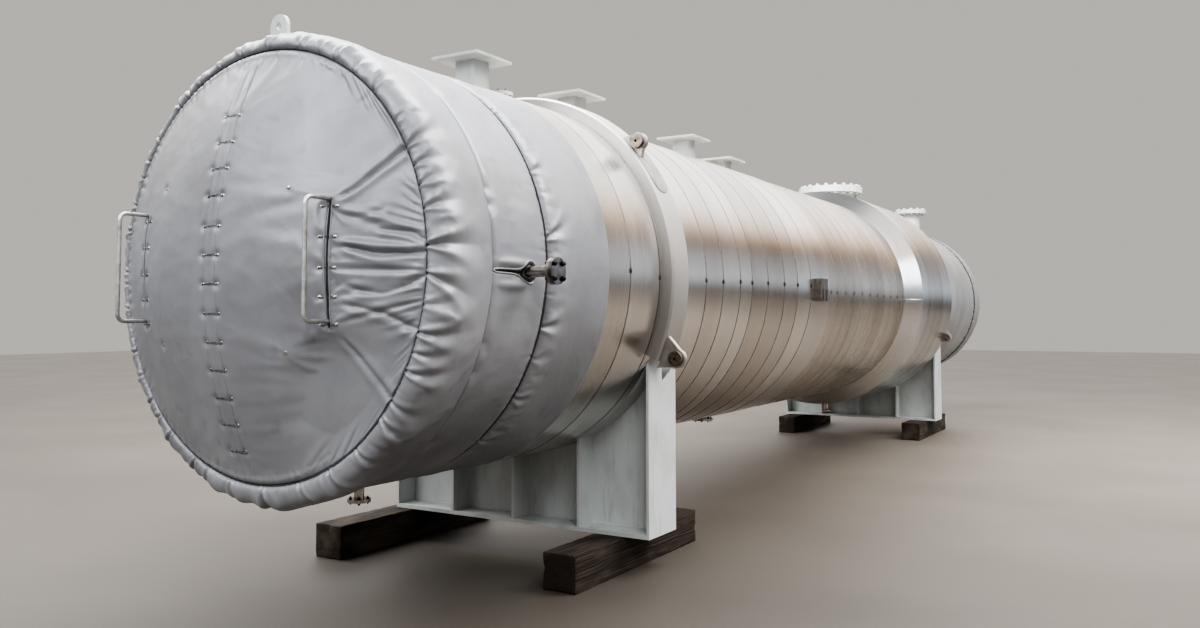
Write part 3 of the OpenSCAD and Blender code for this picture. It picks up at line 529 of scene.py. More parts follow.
# %% Cloth helper
def settle(o, held, cut, pressure, frames, stiff, cap, firm=60, spokes=0, kept=1.0):
    """Lets Blender's cloth settle. o is the sewn shape, and cut holds the points of its flat cut."""
    # Known fault: extrude stores the edges and faces in another order each run, and the folds
    # beside held edges then come out a little different.
    began = time.time()
    start = points(o)
    group = o.vertex_groups.new(name="held")
    group.add([int(v) for v in np.nonzero(held)[0]], 1.0, "REPLACE")
    o.shape_key_add(name="sewn")
    key = o.shape_key_add(name="cut")
    key.data.foreach_set("co", np.ascontiguousarray(cut).ravel())
    # The cut shape only counts as the cloth's own length behind another modifier that reads the mesh.
    o.modifiers.new("held", "VERTEX_WEIGHT_EDIT").vertex_group = "held"
    modifier = o.modifiers.new("cloth", "CLOTH")
    s = modifier.settings
    s.quality = 5
    s.mass = 0.3
    s.tension_stiffness = s.compression_stiffness = firm
    s.shear_stiffness = 0.3 * firm
    s.bending_stiffness = stiff
    s.tension_damping = s.compression_damping = s.shear_damping = 5
    s.bending_damping = 1
    s.air_damping = 3
    s.vertex_group_mass = "held"
    s.pin_stiffness = 5
    s.rest_shape_key = key
    s.use_pressure = True
    s.uniform_pressure_force = pressure
    s.effector_weights.gravity = 0
    modifier.point_cache.frame_start = 1
    modifier.point_cache.frame_end = frames + 1
    modifier.collision_settings.use_collision = False
    modifier.collision_settings.use_self_collision = False
    for f in range(1, frames + 1):
        bpy.context.scene.frame_set(f)
    settled = o.evaluated_get(bpy.context.evaluated_depsgraph_get())
    end = np.empty(len(start) * 3)
    settled.data.vertices.foreach_get("co", end)
    end = end.reshape(-1, 3)
    o.modifiers.clear()
    o.shape_key_clear()
    o.vertex_groups.clear()
    bpy.context.scene.frame_set(1)
    step = kept * (end - start)
    if spokes:
        # Only the folds are kept: a slow swelling of a whole ring would leave the drawn profile.
        angle, _ = round_the_axis(start)
        a = np.radians(angle)
        out = np.stack([a * 0, -np.cos(a), np.sin(a)], axis=1)
        for way in (out, np.array([[1.0, 0.0, 0.0]])):
            part = (step * way).sum(axis=1)
            waves = np.fft.rfft(part.reshape(-1, spokes), axis=1)
            waves[:, 12:] = 0
            step = step - np.fft.irfft(waves, spokes, axis=1).ravel()[:, None] * way
    far = np.linalg.norm(step, axis=1)
    move_points(o, start + step * np.minimum(1, cap / np.maximum(far, 1e-9))[:, None])
    moved = f"moved {far.mean() * 1000:.1f} mm on average, {far.max() * 1000:.1f} at most"
    print(f"{o.name}: {len(start)} points, {moved}, in {time.time() - began:.0f} s")
def unrolled(co, spokes, widest):
    """The flat cut of a lofted skin: straight up to its widest ring, with the lengths along it kept."""
    rings = co.reshape(-1, spokes, 3)
    angle, r = round_the_axis(co)
    r = r.reshape(-1, spokes)
    full = np.maximum(r, np.where(np.arange(len(rings))[:, None] < widest, r[widest], r))
    x = np.zeros_like(r)
    x[0] = rings[0, :, 0]
    for k in range(1, len(rings)):
        span = np.linalg.norm(rings[k] - rings[k - 1], axis=1)
        x[k] = x[k - 1] + np.sqrt(np.maximum(span ** 2 - (full[k] - full[k - 1]) ** 2, 1e-8))
    flat = co.copy()
    flat[:, 0] = x.ravel()
    set_radius(flat, angle, full.ravel())
    return flat
def close_jacket(o, spokes, r_in):
    """Turns both rims of a skin inwards to r_in and joins them, so that the jacket is closed."""
    rings = len(o.data.vertices) // spokes
    last = (rings - 1) * spokes
    work_on(o)
    for first in (0, last):
        mark = np.zeros(len(o.data.vertices), bool)
        mark[first:first + spokes] = True
        o.data.vertices.foreach_set("select", mark)
        o.data.edges.foreach_set("select",
            [mark[e.vertices[0]] and mark[e.vertices[1]] for e in o.data.edges])
        o.data.polygons.foreach_set("select", [False] * len(o.data.polygons))
        x = o.data.vertices[first].co.x
        r = math.hypot(o.data.vertices[first].co.y, o.data.vertices[first].co.z - axis_z)
        bpy.ops.object.mode_set(mode="EDIT")
        bpy.ops.mesh.extrude_edges_move(TRANSFORM_OT_translate={"value": (0, 0, 0)})
        bpy.ops.transform.resize(value=(1, r_in / r, r_in / r), center_override=(x, 0, axis_z))
        bpy.ops.object.mode_set(mode="OBJECT")
    mark = np.zeros(len(o.data.vertices), bool)
    mark[rings * spokes:] = True
    o.data.vertices.foreach_set("select", mark)
    o.data.edges.foreach_set("select", [mark[e.vertices[0]] and mark[e.vertices[1]] for e in o.data.edges])
    bpy.ops.object.mode_set(mode="EDIT")
    bpy.ops.mesh.bridge_edge_loops()
    bpy.ops.mesh.select_all(action="SELECT")
    bpy.ops.mesh.normals_make_consistent(inside=False)
    bpy.ops.object.mode_set(mode="OBJECT")
    bpy.ops.object.shade_smooth()
def dress(o, node_name, finish=None):
    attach(o, "root")
    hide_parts(node_name)
    o.data.materials.clear()
    o.data.materials.append(finish or cloth)
print("cloth helpers ready")

# %% [markdown]
# ## Front rim roll
#
# A fat roll round the cover's edge. Its strip of cloth is as long as the roll's widest
# circle, so at the cord it has a tenth too much, and that tenth becomes the folds. The roll
# sags: it stands lower on top and hangs fuller below.

# %% Front rim roll
ROLL_SPOKES = 900
outline = resample([(30, 1160), (20, 1166), (8, 1171), (-2, 1184), (-4, 1203), (8, 1236), (36, 1264),
    (82, 1280), (140, 1284),
                    (220, 1280), (310, 1270), (380, 1263), (398, 1258), (404, 1248), (404, 1236)], 0.014)
roll = loft("front_roll", outline, ROLL_SPOKES)
co = points(roll)
angle, r = round_the_axis(co)
ring = np.arange(len(co)) // ROLL_SPOKES
rings = ring.max() + 1
u = ring / (rings - 1)
fuller = np.interp(angle, [-180, -135, -90, -45, 0, 45, 90, 135, 180],
    [-26, -4, 20, 12, 2, -4, -12, -28, -26]) * MM
r += fuller * np.interp(u, [0, 0.06, 0.25, 0.6, 0.9, 1], [0, 0.1, 1, 0.7, 0.15, 0])
near = np.clip(1 - u / 0.40, 0, 1) * (u > 0.07)
r += near * (0.004 * ripple(angle, 3.0, 0.05) + 0.006 * ripple(angle, 8.0, 0.13))
set_radius(co, angle, r)
move_points(roll, co)
widest = int(np.argmax([p[1] for p in outline]))
cut = 0.55 * co + 0.45 * unrolled(co, ROLL_SPOKES, widest)
held = (u < 0.03) | (u > 0.93)
settle(roll, held, cut, 0.2, 18, 12, 0.03, firm=30, spokes=ROLL_SPOKES, kept=0.4)

# %% Pleats of the roll
# Each stitch of the drawcord pinches a pleat. The near side's are where the photo shows them:
# angle, depth and length in mm, and lean.
pleats = [(46.4, 13, 120, 0.25), (35.0, 7, 70, 0.1), (27.7, 15, 150, 0.3), (22.5, 12, 120, 0.1),
    (17.6, 10, 90, 0.2), (11.8, 13, 130, 0.15),
          (3.1, 22, 200, 0.02), (-3.7, 17, 170, -0.35), (-10.6, 10, 110, 0.2), (-17.3, 17, 190, 0.1),
          (-22.2, 11, 130, 0.1), (-26.9, 14, 160, 0.15),
          (-35.6, 10, 110, -0.1), (-40.6, 13, 120, -0.3), (-52.0, 8, 90, 0.1), (-63.0, 9, 100, -0.1),
          (-74.0, 10, 110, 0.1), (-87.8, 20, 120, 0.0),
          (55.0, 7, 70, 0.1), (62.7, 8, 90, -0.1), (68.8, 10, 100, 0.1), (77.0, 8, 80, 0.0),
          (87.9, 18, 120, 0.0)]
rng = random.Random(5)
pleats += [(deg + rng.uniform(-3, 3), rng.uniform(7, 15), rng.uniform(70, 170),
    rng.uniform(-0.3, 0.3)) for deg in range(98, 266, 8)]
angle, _ = round_the_axis(points(roll))
ahead = arc_length(outline)[ring] - 44
shape = sum(pleat(angle, ahead, deg, 1.2 * deep, 1.3 * long, lean, 6.0, 0.14) for deg, deep, long,
    lean in pleats)
for deg in np.arange(-180, 180, 3.9):
    shape = shape + pleat(angle, ahead, deg + rng.uniform(-1.2, 1.2), rng.uniform(1, 4),
        rng.uniform(22, 50), rng.uniform(-0.3, 0.3), 5.0)
push(roll, shape * np.clip(1 + ahead / 40, 0, 1))
close_jacket(roll, ROLL_SPOKES, shell_r + 0.002)
dress(roll, "front_rim_roll")
print(len(pleats), "deep pleats and 93 small ones")

# %% [markdown]
# ## Front pad
#
# The pad over the cover is a deep dome. It is made as two halves, laced down one upright
# seam, with a slit beside each handle that is laced as well. A round of squares, evenly
# spread, takes folds in any direction, so a square grid is bent onto the dome instead of a
# fan of triangles. Its cut lies close to the sewn dome, a little towards a flat disc as wide
# as the dome is along its curve, and is somewhat too long beside the near slit. The folds
# are kept whole there, and less than a third of them elsewhere.

# %% The dome and its flat cut
PAD_SIDE = 210
dome_h = seam_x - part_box("front_pad")[0].x
rim_r = shell_r + 18 * MM
seam_y = 0.055
dome_line = [(r, -dome_h * (1 - (r / rim_r) ** 2)) for r in np.linspace(0, 1.12, 60)]
dome_line += [(1.140, -0.019), (1.152, -0.008), (1.160, 0.004), (1.164, 0.020), (1.164, 0.034)]
dome_r, dome_x = np.array(dome_line).T
dome_s = np.concatenate([[0], np.cumsum(np.hypot(np.diff(dome_r), np.diff(dome_x)))])
bare_scene()
bpy.ops.mesh.primitive_grid_add(x_subdivisions=PAD_SIDE, y_subdivisions=PAD_SIDE, size=2, location=(0, 0, 0))
pad = bpy.context.object
pad.name = "front_pad_cover"
a, b, _ = points(pad).T
u, v = a * np.sqrt(1 - b * b / 2), b * np.sqrt(1 - a * a / 2)
s = np.clip(np.hypot(u, v), 0, 1) * dome_s[-1]
turn = np.arctan2(v, u)
pad_r_now = np.interp(s, dome_s, dome_r)
py, pz = pad_r_now * np.cos(turn), pad_r_now * np.sin(turn)
px = np.interp(s, dome_s, dome_x)
sewn = np.stack([seam_x + px, py, axis_z + pz], axis=1)
flat = np.stack([np.full_like(s, seam_x), s * np.cos(turn), axis_z + s * np.sin(turn)], axis=1)
def on_dome(y, z):
    """A point of the dome, from its place across and up from the axis."""
    r = math.hypot(y, z)
    return Vector((seam_x + float(np.interp(r, dome_r, dome_x)), y, axis_z + z))
print(f"dome {dome_h * 1000:.0f} mm high, {dome_s[-1]:.3f} m along its curve, {len(sewn)} points")

# %% Pins and slits of the pad
lace_rows = [0.790, 0.642, 0.498, 0.353, 0.192, 0.042, -0.107, -0.260, -0.410, -0.554, -0.701, -0.844, -0.987]
slit_rows = [0.262, 0.112, -0.040, -0.182, -0.316]
near_slit, far_slit = -0.684, 0.785
pins = [(seam_y + d, z) for z in lace_rows for d in (-0.060, 0.060)]
pins += [(y + d, z) for y in (near_slit, far_slit) for z in slit_rows for d in (-0.048, 0.032)]
rivets = [(-0.449, 0.368), (0.570, 0.432), (-0.432, -0.456), (0.570, -0.430)]
# Right of the near slit the cloth is drawn in hard, and its creases run from the lacing to the seam.
near_y = np.clip((-0.62 - py) / 0.36, 0, 1)
near_y = near_y * near_y * (3 - 2 * near_y)
near_y = near_y * np.exp(-(np.abs(pz + 0.05) / 0.75) ** 4)
wave = np.array([noise.noise(Vector((y * 2.2, z * 6.5, 4.0))) for y, z in zip(py, pz)])
slack = np.array([noise.noise(Vector((y * 1.7, z * 1.7, 9.0))) for y, z in zip(py, pz)])
lift = 0.010 * wave * near_y + 0.006 * slack * np.clip((1.1 - pad_r_now) / 0.3, 0, 1)
def crease(path, deep, wide0, wide1):
    """A sharp valley with a ridge on each side, along a line of places (y, z) on the dome."""
    best = np.full(len(py), 9.0)
    part = np.zeros(len(py))
    path = curve_through(path, 0.03)
    steps = [math.dist(p, q) for p, q in zip(path, path[1:])]
    gone = 0.0
    for (y0, z0), (y1, z1), step in zip(path, path[1:], steps):
        t = np.clip(((py - y0) * (y1 - y0) + (pz - z0) * (z1 - z0)) / step ** 2, 0, 1)
        d = np.hypot(py - y0 - t * (y1 - y0), pz - z0 - t * (z1 - z0))
        part = np.where(d < best, (gone + t * step) / sum(steps), part)
        best = np.minimum(best, d)
        gone += step
    wide = (wide0 + (wide1 - wide0) * part) * MM
    ends = np.clip(part / 0.15, 0, 1) * np.clip((1.1645 - pad_r_now) / 0.004, 0, 1)
    return deep * MM * ends * (0.55 * np.exp(-((best - 2.6 * wide) / (2.2 * wide)) ** 2)
        - np.exp(-(best / wide) ** 1.15))
to_rim = (dome_s[-1] - 0.038 - s) / MM
rng = random.Random(8)
for deg in np.arange(-180, 180, 3.6):
    beside_slit = abs(deg + rng.uniform(-1, 1) - 180 * np.sign(deg)) < 40
    deep = rng.uniform(2, 4) if beside_slit else rng.uniform(2.5, 7)
    lift += pleat(np.degrees(turn), to_rim, deg + rng.uniform(-1.2, 1.2), deep, rng.uniform(35, 95),
        rng.uniform(-0.3, 0.3), 8.0, 0.10) * (px < 0.006)
held = s > dome_s[-1] - 0.030
for y, z in pins + rivets:
    d = np.hypot(py - y, pz - z)
    lift -= 0.012 * np.exp(-(d / 0.022) ** 2)
    held |= d < 0.014
for z in lace_rows:
    tug = np.exp(-((pz - z) / 0.014) ** 2) * np.clip(1 - np.abs(py - seam_y) / 0.16, 0, 1)
    lift -= 0.0025 * tug
for y in (near_slit, far_slit):
    d = np.abs(py - y + 0.008) + 5 * np.clip(np.abs(pz + 0.022) - 0.325, 0, 1)
    lift -= 0.014 * np.exp(-(d / 0.012) ** 2)
    held |= d < 0.009
move_points(pad, sewn + np.stack([-lift, lift * 0, lift * 0], axis=1))
rest = sewn + np.stack([-lift, lift * 0, lift * 0], axis=1)
cut = 0.98 * rest + 0.02 * flat
cut[:, 2] += 0.036 * near_y * np.tanh((pz + 0.05) / 0.36)
cut[:, 1] += 0.012 * near_y * np.clip((-0.69 - py) / 0.45, 0, 1)
kept = 0.3 + 0.7 * np.clip((-0.30 - py) / 0.30, 0, 1)[:, None]
settle(pad, held, cut, 0.2, 18, 4, 0.035, firm=30, kept=kept)
print(len(pins), "pins,", int(held.sum()), "points held")

# %% Hard creases beside the near slit
# These stay sharp, so they are pressed in after the cloth has settled: places, depth, and
# width at both ends.
sharp = 0
for path, deep, wide0, wide1 in [
        ([(-0.705, 0.300), (-0.786, 0.336), (-0.916, 0.445), (-1.032, 0.543)], 20, 8, 12),
        ([(-0.930, 0.138), (-1.040, 0.128), (-1.115, 0.120), (-1.160, 0.085)], 16, 7, 10),
        ([(-0.741, 0.070), (-0.843, 0.047), (-0.950, 0.023), (-1.068, 0.026), (-1.174, 0.036)], 24, 8, 13),
        ([(-0.745, 0.215), (-0.860, 0.205), (-0.960, 0.235)], 5, 10, 10),
        ([(-0.770, -0.125), (-0.948, -0.162), (-1.084, -0.128), (-1.166, -0.076)], 14, 8, 12),
        ([(-0.748, -0.214), (-0.944, -0.250), (-1.106, -0.337)], 14, 8, 13),
        ([(-0.735, -0.373), (-0.830, -0.497), (-0.903, -0.603), (-0.952, -0.675)], 12, 8, 12),
        ([(-0.585, 0.757), (-0.697, 0.789), (-0.815, 0.851)], 4, 8, 12)]:
    sharp = sharp + crease(path, deep, wide0, wide1)
co = points(pad)
co[:, 0] -= sharp
move_points(pad, co)
print("8 creases, the deepest", round(-1000 * sharp.min()), "mm")

# %% Lacing flap and back of the pad
co = points(pad)
away = np.abs(co[:, 1] - seam_y)
inside = np.clip((1.12 - pad_r_now) / 0.1, 0, 1)
flap = 0.003 * np.clip((0.052 - away) / 0.010, 0, 1) - 0.004 * np.exp(-(away / 0.010) ** 2)
co[:, 0] -= flap * inside
move_points(pad, co)
work_on(pad)
rim_points = s > dome_s[-1] - 1e-6
pad.data.vertices.foreach_set("select", rim_points)
pad.data.edges.foreach_set("select",
    [bool(rim_points[e.vertices[0]] and rim_points[e.vertices[1]]) for e in pad.data.edges])
pad.data.polygons.foreach_set("select", [False] * len(pad.data.polygons))
bpy.ops.object.mode_set(mode="EDIT")
bpy.ops.mesh.extrude_edges_move(TRANSFORM_OT_translate={"value": (0.004, 0, 0)})
bpy.ops.transform.resize(value=(1, 0.97, 0.97), center_override=(seam_x, 0, axis_z))
bpy.ops.mesh.edge_face_add()
bpy.ops.mesh.select_all(action="SELECT")
bpy.ops.mesh.normals_make_consistent(inside=False)
bpy.ops.object.mode_set(mode="OBJECT")
bpy.ops.object.shade_smooth()
dress(pad, "front_pad")
print("pad closed with", len(pad.data.polygons), "faces")

# %% [markdown]
# ## Channel and collar blankets
#
# Behind the roll two plain blankets meet at a second cord. Here the cord takes in little
# cloth, so there are only a few short dents along it, each where a stitch pulls.

# %% Channel blanket
def dent(angle, co, x_mm, deg, deep, wide, long):
    """How far a dent pulls the cloth in, at its place and size in millimetres."""
    across = np.radians(angle - deg) * 1260
    ahead = (co[:, 0] - along(x_mm)) / MM
    return deep * MM * np.exp(-(across / wide) ** 2 - (ahead / long) ** 2)
BLANKET_SPOKES = 860
outline = resample([(398, 1236), (400, 1247), (410, 1256), (440, 1261), (640, 1262), (820, 1262),
    (872, 1255), (896, 1243), (903, 1232), (903, 1222)], 0.018)
channel = loft("channel_jacket", outline, BLANKET_SPOKES)
co = points(channel)
angle, r = round_the_axis(co)
ring = np.arange(len(co)) // BLANKET_SPOKES
u = ring / ring.max()
r += 0.004 * ripple(angle, 11.0, 0.30) * np.sin(np.pi * u) + 0.003 * ripple(angle + u * 20, 5.0,
    0.12) * np.clip((u - 0.6) / 0.4, 0, 1) * (u < 0.93)
for deg in (17.8, 13.7, -19.1, -26.7, -48.2, 48, 71, 118, 160, 205, 250):
    r -= dent(angle, co, 412, deg, 13, 17, 26)
r -= dent(angle, co, 650, -2.6, 22, 30, 60) + dent(angle, co, 520, -1.9, 10, 14, 120)
r += dent(angle, co, 560, 0.2, 13, 20, 130) + dent(angle, co, 560, -5.2, 14, 24, 120)
set_radius(co, angle, r)
move_points(channel, co)
held = (u < 0.04) | (u > 0.96)
settle(channel, held, unrolled(co, BLANKET_SPOKES, 3), 0.15, 8, 6, 0.03, firm=30, spokes=BLANKET_SPOKES)
rng = random.Random(15)
from_cord = arc_length(outline)[-1] - arc_length(outline)[ring] - 34
shape = sum(pleat(angle, from_cord, deg + rng.uniform(-1.5, 1.5), rng.uniform(1.5, 5), rng.uniform(25, 80),
    rng.uniform(-0.3, 0.3)) for deg in np.arange(-180, 180, 5.1))
push(channel, shape * np.clip(1 + from_cord / 30, 0, 1))
close_jacket(channel, BLANKET_SPOKES, shell_r + 0.002)
dress(channel, "channel_blanket")

# %% Collar blanket
outline = resample([(911, 1222), (911, 1232), (916, 1243), (934, 1256), (970, 1264), (1020, 1266),
    (1250, 1265), (1500, 1268), (1530, 1271), (1538, 1268), (1538, 1255)], 0.017)
collar = loft("collar_jacket", outline, BLANKET_SPOKES)
co = points(collar)
angle, r = round_the_axis(co)
ring = np.arange(len(co)) // BLANKET_SPOKES
u = ring / ring.max()
r += 0.0035 * ripple(angle, 21.0, 0.28) * np.sin(np.pi * u)
set_radius(co, angle, r)
move_points(collar, co)
cut = 0.3 * co + 0.7 * unrolled(co, BLANKET_SPOKES, 7)
held = (u < 0.04) | (u > 0.96)
settle(collar, held, cut, 0.15, 9, 6, 0.03, firm=30, spokes=BLANKET_SPOKES)
pleats = [(25.6, 15, 95, 0.3), (7.4, 20, 150, 0.45), (-15.6, 17, 130, 0.15), (-24.1, 8, 70, 0.0),
    (-36, 12, 90, -0.1), (-51.9, 9, 80, 0.1),
          (47, 9, 80, 0.1), (66, 7, 60, -0.1), (95, 12, 90, 0.2), (124, 9, 90, -0.2), (150, 14, 110, 0.2),
          (181, 12, 110, 0.1), (210, 10, 90, -0.2),
          (238, 12, 100, 0.1), (262, 9, 80, 0.2)]
angle, _ = round_the_axis(points(collar))
ahead = arc_length(outline)[ring] - 26
shape = sum(pleat(angle, ahead, deg, deep, long, lean, 7.0, 0.16) for deg, deep, long, lean in pleats)
for deg in np.arange(-180, 180, 4.7):
    shape = shape + pleat(angle, ahead, deg + rng.uniform(-1.4, 1.4), rng.uniform(1, 4),
        rng.uniform(20, 50), rng.uniform(-0.3, 0.3))
push(collar, shape * np.clip(1 + ahead / 24, 0, 1))
close_jacket(collar, BLANKET_SPOKES, shell_r + 0.002)
dress(collar, "collar_blanket")

# %% [markdown]
# ## Rear jacket
#
# The rear end wears the same kind of jacket, thinner: a long plain blanket, a seam on a
# cord, a rim roll and a domed pad.

# %% Rear blanket, roll and pad
rear_x = (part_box("rear_rim_roll")[1].x - seam_x) / MM
belt_end = (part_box("rear_blanket")[0].x - seam_x) / MM
mid_seam = (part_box("rear_rim_roll")[0].x - seam_x) / MM
REAR_SPOKES = 420
def rear_skin(name, corners, step, seed, gathered, frames):
    outline = resample(corners, step)
    skin = loft(name, outline, REAR_SPOKES)
    co = points(skin)
    angle, r = round_the_axis(co)
    u = (np.arange(len(co)) // REAR_SPOKES) / (len(outline) - 1)
    near_cord = np.exp(-((co[:, 0] - along(gathered)) / 0.11) ** 2) * (u > 0.03) * (u < 0.97)
    r += near_cord * (0.007 * ripple(angle, seed, 0.07) + 0.004 * ripple(angle, seed + 3, 0.16))
    set_radius(co, angle, r)
    move_points(skin, co)
    widest = int(np.argmax([p[1] for p in outline]))
    settle(skin, (u < 0.03) | (u > 0.97), 0.4 * co + 0.6 * unrolled(co, REAR_SPOKES, widest), 0.15, frames,
        6, 0.03, firm=30, spokes=REAR_SPOKES)
    angle, _ = round_the_axis(points(skin))
    lengths = arc_length(outline)[np.arange(len(co)) // REAR_SPOKES]
    ahead = (lengths if seed > 35 else lengths.max() - lengths) - 30
    rng = random.Random(int(seed))
    shape = sum(pleat(angle, ahead, deg + rng.uniform(-2, 2), rng.uniform(5, 16), rng.uniform(50, 170),
        rng.uniform(-0.2, 0.2), 9.0) for deg in np.arange(-180, 180, 7.5))
    push(skin, shape * np.clip(1 + ahead / 30, 0, 1))
    close_jacket(skin, REAR_SPOKES, shell_r + 0.002)
    return skin
rear_blanket = rear_skin("rear_jacket", [(belt_end + 2, 1190), (belt_end + 4, 1206), (belt_end + 20, 1214),
    (belt_end + 300, 1215),
    (mid_seam - 300, 1215), (mid_seam - 70, 1213), (mid_seam - 25, 1200), (mid_seam - 5, 1182),
    (mid_seam - 4, 1168)], 0.024, 31.0, mid_seam - 60, 6)
dress(rear_blanket, "rear_blanket", rear_cloth)
rear_roll = rear_skin("rear_roll", [(mid_seam + 4, 1168), (mid_seam + 5, 1182), (mid_seam + 26, 1202),
    (mid_seam + 90, 1217), (mid_seam + 220, 1222),
    (rear_x - 150, 1219), (rear_x - 60, 1208), (rear_x - 14, 1192), (rear_x, 1178), (rear_x - 12, 1166)],
    0.020, 41.0, rear_x - 60, 8)
dress(rear_roll, "rear_rim_roll", rear_cloth)
rear_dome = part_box("rear_pad")[1].x
outline = [(seam_x + rear_x * MM + 0.0 - 0.02, 1.164), (seam_x + rear_x * MM - 0.006, 1.163)]
outline += [(rear_dome - dome_h * (r / rim_r) ** 2, r) for r in np.linspace(1.145, 0.012, 44)]
rear_pad = loft("rear_pad_cover", outline, 300)
co = points(rear_pad)
angle, r = round_the_axis(co)
edge = np.clip((r - 0.72) / 0.42, 0, 1) * (r < 1.15)
co[:, 0] += edge * (0.008 * ripple(angle, 51.0, 0.10) + 0.006 * ripple(angle, 57.0, 0.3))
move_points(rear_pad, co)
work_on(rear_pad)
bpy.ops.object.mode_set(mode="EDIT")
for first in (0, len(outline) - 1):
    bpy.ops.mesh.select_all(action="DESELECT")
    bpy.ops.object.mode_set(mode="OBJECT")
    mark = np.zeros(len(co), bool)
    mark[first * 300:(first + 1) * 300] = True
    rear_pad.data.vertices.foreach_set("select", mark)
    rear_pad.data.edges.foreach_set("select",
        [bool(mark[e.vertices[0]] and mark[e.vertices[1]]) for e in rear_pad.data.edges])
    bpy.ops.object.mode_set(mode="EDIT")
    bpy.ops.mesh.edge_face_add()
bpy.ops.mesh.select_all(action="SELECT")
bpy.ops.mesh.normals_make_consistent(inside=False)
bpy.ops.object.mode_set(mode="OBJECT")
bpy.ops.object.shade_smooth()
dress(rear_pad, "rear_pad", rear_cloth)
print("rear jacket done")

# %% [markdown]
# ## Fittings
#
# Nearly every fitting is turned, bent or cut bar, so three makers are enough: one turns a
# profile like a lathe, one cuts a bar and eases its edges, and one bends rod or cord along
# a line. What repeats is made once, at the origin, and copied to its places.

# %% Makers for fittings
def complete(o, material):
    """Sets a fitting's place into its mesh, turns its faces out, and mounts it."""
    work_on(o)
    bpy.ops.object.transform_apply(location=True, rotation=True, scale=True)
    bpy.ops.object.mode_set(mode="EDIT")
    bpy.ops.mesh.select_all(action="SELECT")
    bpy.ops.mesh.normals_make_consistent(inside=False)
    bpy.ops.object.mode_set(mode="OBJECT")
    o.data.materials.clear()
    o.data.materials.append(material)
    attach(o, "root")
    return o
def turned(name, profile, spokes):
    """Turns a list of [height, radius] in millimetres round Z, closed at both ends."""
    bare_scene()
    h, r = profile[0]
    bpy.ops.mesh.primitive_circle_add(vertices=spokes, radius=r * MM, fill_type="NGON",
        location=(0, 0, h * MM))
    o = bpy.context.object
    o.name = name
    bpy.ops.object.transform_apply()
    bpy.ops.object.mode_set(mode="EDIT")
    bpy.ops.mesh.select_all(action="SELECT")
    for h1, r1 in profile[1:]:
        bpy.ops.mesh.extrude_region_move(TRANSFORM_OT_translate={"value": (0, 0, (h1 - h) * MM)})
        bpy.ops.transform.resize(value=(r1 / r, r1 / r, 1), center_override=(0, 0, h1 * MM))
        h, r = h1, r1
    bpy.ops.object.mode_set(mode="OBJECT")
    bpy.ops.object.shade_smooth_by_angle(angle=math.radians(35))
    return o
def bar(name, size, at, ease):
    """A bar of a size in millimetres, with its edges eased."""
    bare_scene()
    bpy.ops.mesh.primitive_cube_add(size=1, location=at)
    o = bpy.context.object
    o.name = name
    o.scale = [v * MM for v in size]
    bpy.ops.object.transform_apply(location=False, scale=True)
    bpy.ops.object.mode_set(mode="EDIT")
    bpy.ops.mesh.select_all(action="SELECT")
    bpy.ops.mesh.bevel(offset=ease * MM, segments=2, affect="EDGES")
    bpy.ops.object.mode_set(mode="OBJECT")
    bpy.ops.object.shade_smooth_by_angle(angle=math.radians(35))
    return o
def bent_rod(name, path, r_mm, around=8, closed=False):
    """Rod or cord along a list of points."""
    bare_scene()
    line = bpy.data.curves.new(name, "CURVE")
    line.dimensions = "3D"
    line.bevel_depth = r_mm * MM
    line.bevel_resolution = max(0, around // 4)
    line.use_fill_caps = not closed
    spline = line.splines.new("POLY")
    spline.points.add(len(path) - 1)
    spline.points.foreach_set("co", [c for p in path for c in (*p, 1.0)])
    spline.use_cyclic_u = closed
    o = bpy.data.objects.new(name, line)
    bpy.context.scene.collection.objects.link(o)
    work_on(o)
    bpy.ops.object.convert(target="MESH")
    o = bpy.context.object
    bpy.ops.object.shade_smooth()
    return o
def facing(at, out, side=(1, 0, 0)):
    """The place of a fitting whose Z looks out, and whose X lies along side."""
    z = Vector(out).normalized()
    y = z.cross(Vector(side)).normalized()
    return Matrix.Translation(at) @ Matrix((y.cross(z), y, z)).transposed().to_4x4()
def repeat(o, places):
    """Copies a fitting to each place, each copy with its own mesh, and joins them."""
    copies = []
    for place in places:
        c = bpy.data.objects.new(o.name, o.data.copy())
        c.data.transform(place)
        bpy.context.scene.collection.objects.link(c)
        copies.append(c)
    bpy.data.objects.remove(o)
    bare_scene()
    for c in copies:
        c.select_set(True)
    bpy.context.view_layer.objects.active = copies[0]
    bpy.ops.object.join()
    return bpy.context.object
print("fitting makers ready")

# %% [markdown]
# ### Straps, laps and buckles
#
# Steel straps hold the sheets, drawn tight by a buckle at mid-height on the near side. The
# strap is lofted once at a radius of one metre, and each copy is stretched to its own
# circle. Where no strap shows, the next sheet laps over by a millimetre.

# %% Straps and laps
def hoop(name, half_mm, thick_mm, spokes=200):
    """A flat hoop of one metre radius at x = 0."""
    t = thick_mm * MM / clad_r
    o = loft(name, [(-half_mm * MM, 0.9985), (-half_mm * MM, 1 + 0.6 * t), (-(half_mm - 1) * MM, 1 + t),
                    ((half_mm - 1) * MM, 1 + t), (half_mm * MM, 1 + 0.6 * t), (half_mm * MM, 0.9985)], spokes)
    o.data.transform(Matrix.Translation((0, 0, -axis_z)))
    work_on(o)
    bpy.ops.object.mode_set(mode="EDIT")
    bpy.ops.mesh.select_all(action="DESELECT")
    bpy.ops.mesh.select_non_manifold(extend=False)
    bpy.ops.mesh.bridge_edge_loops()
    bpy.ops.object.mode_set(mode="OBJECT")
    bpy.ops.object.shade_smooth_by_angle(angle=math.radians(50))
    return o
def round_place(x_mm, r):
    return Matrix.Translation((along(x_mm), 0, axis_z)) @ Matrix.Diagonal((1, r, r, 1))
straps = repeat(hoop("cladding_straps", 6, 1.1), [round_place(x, clad_r) for x in bands])
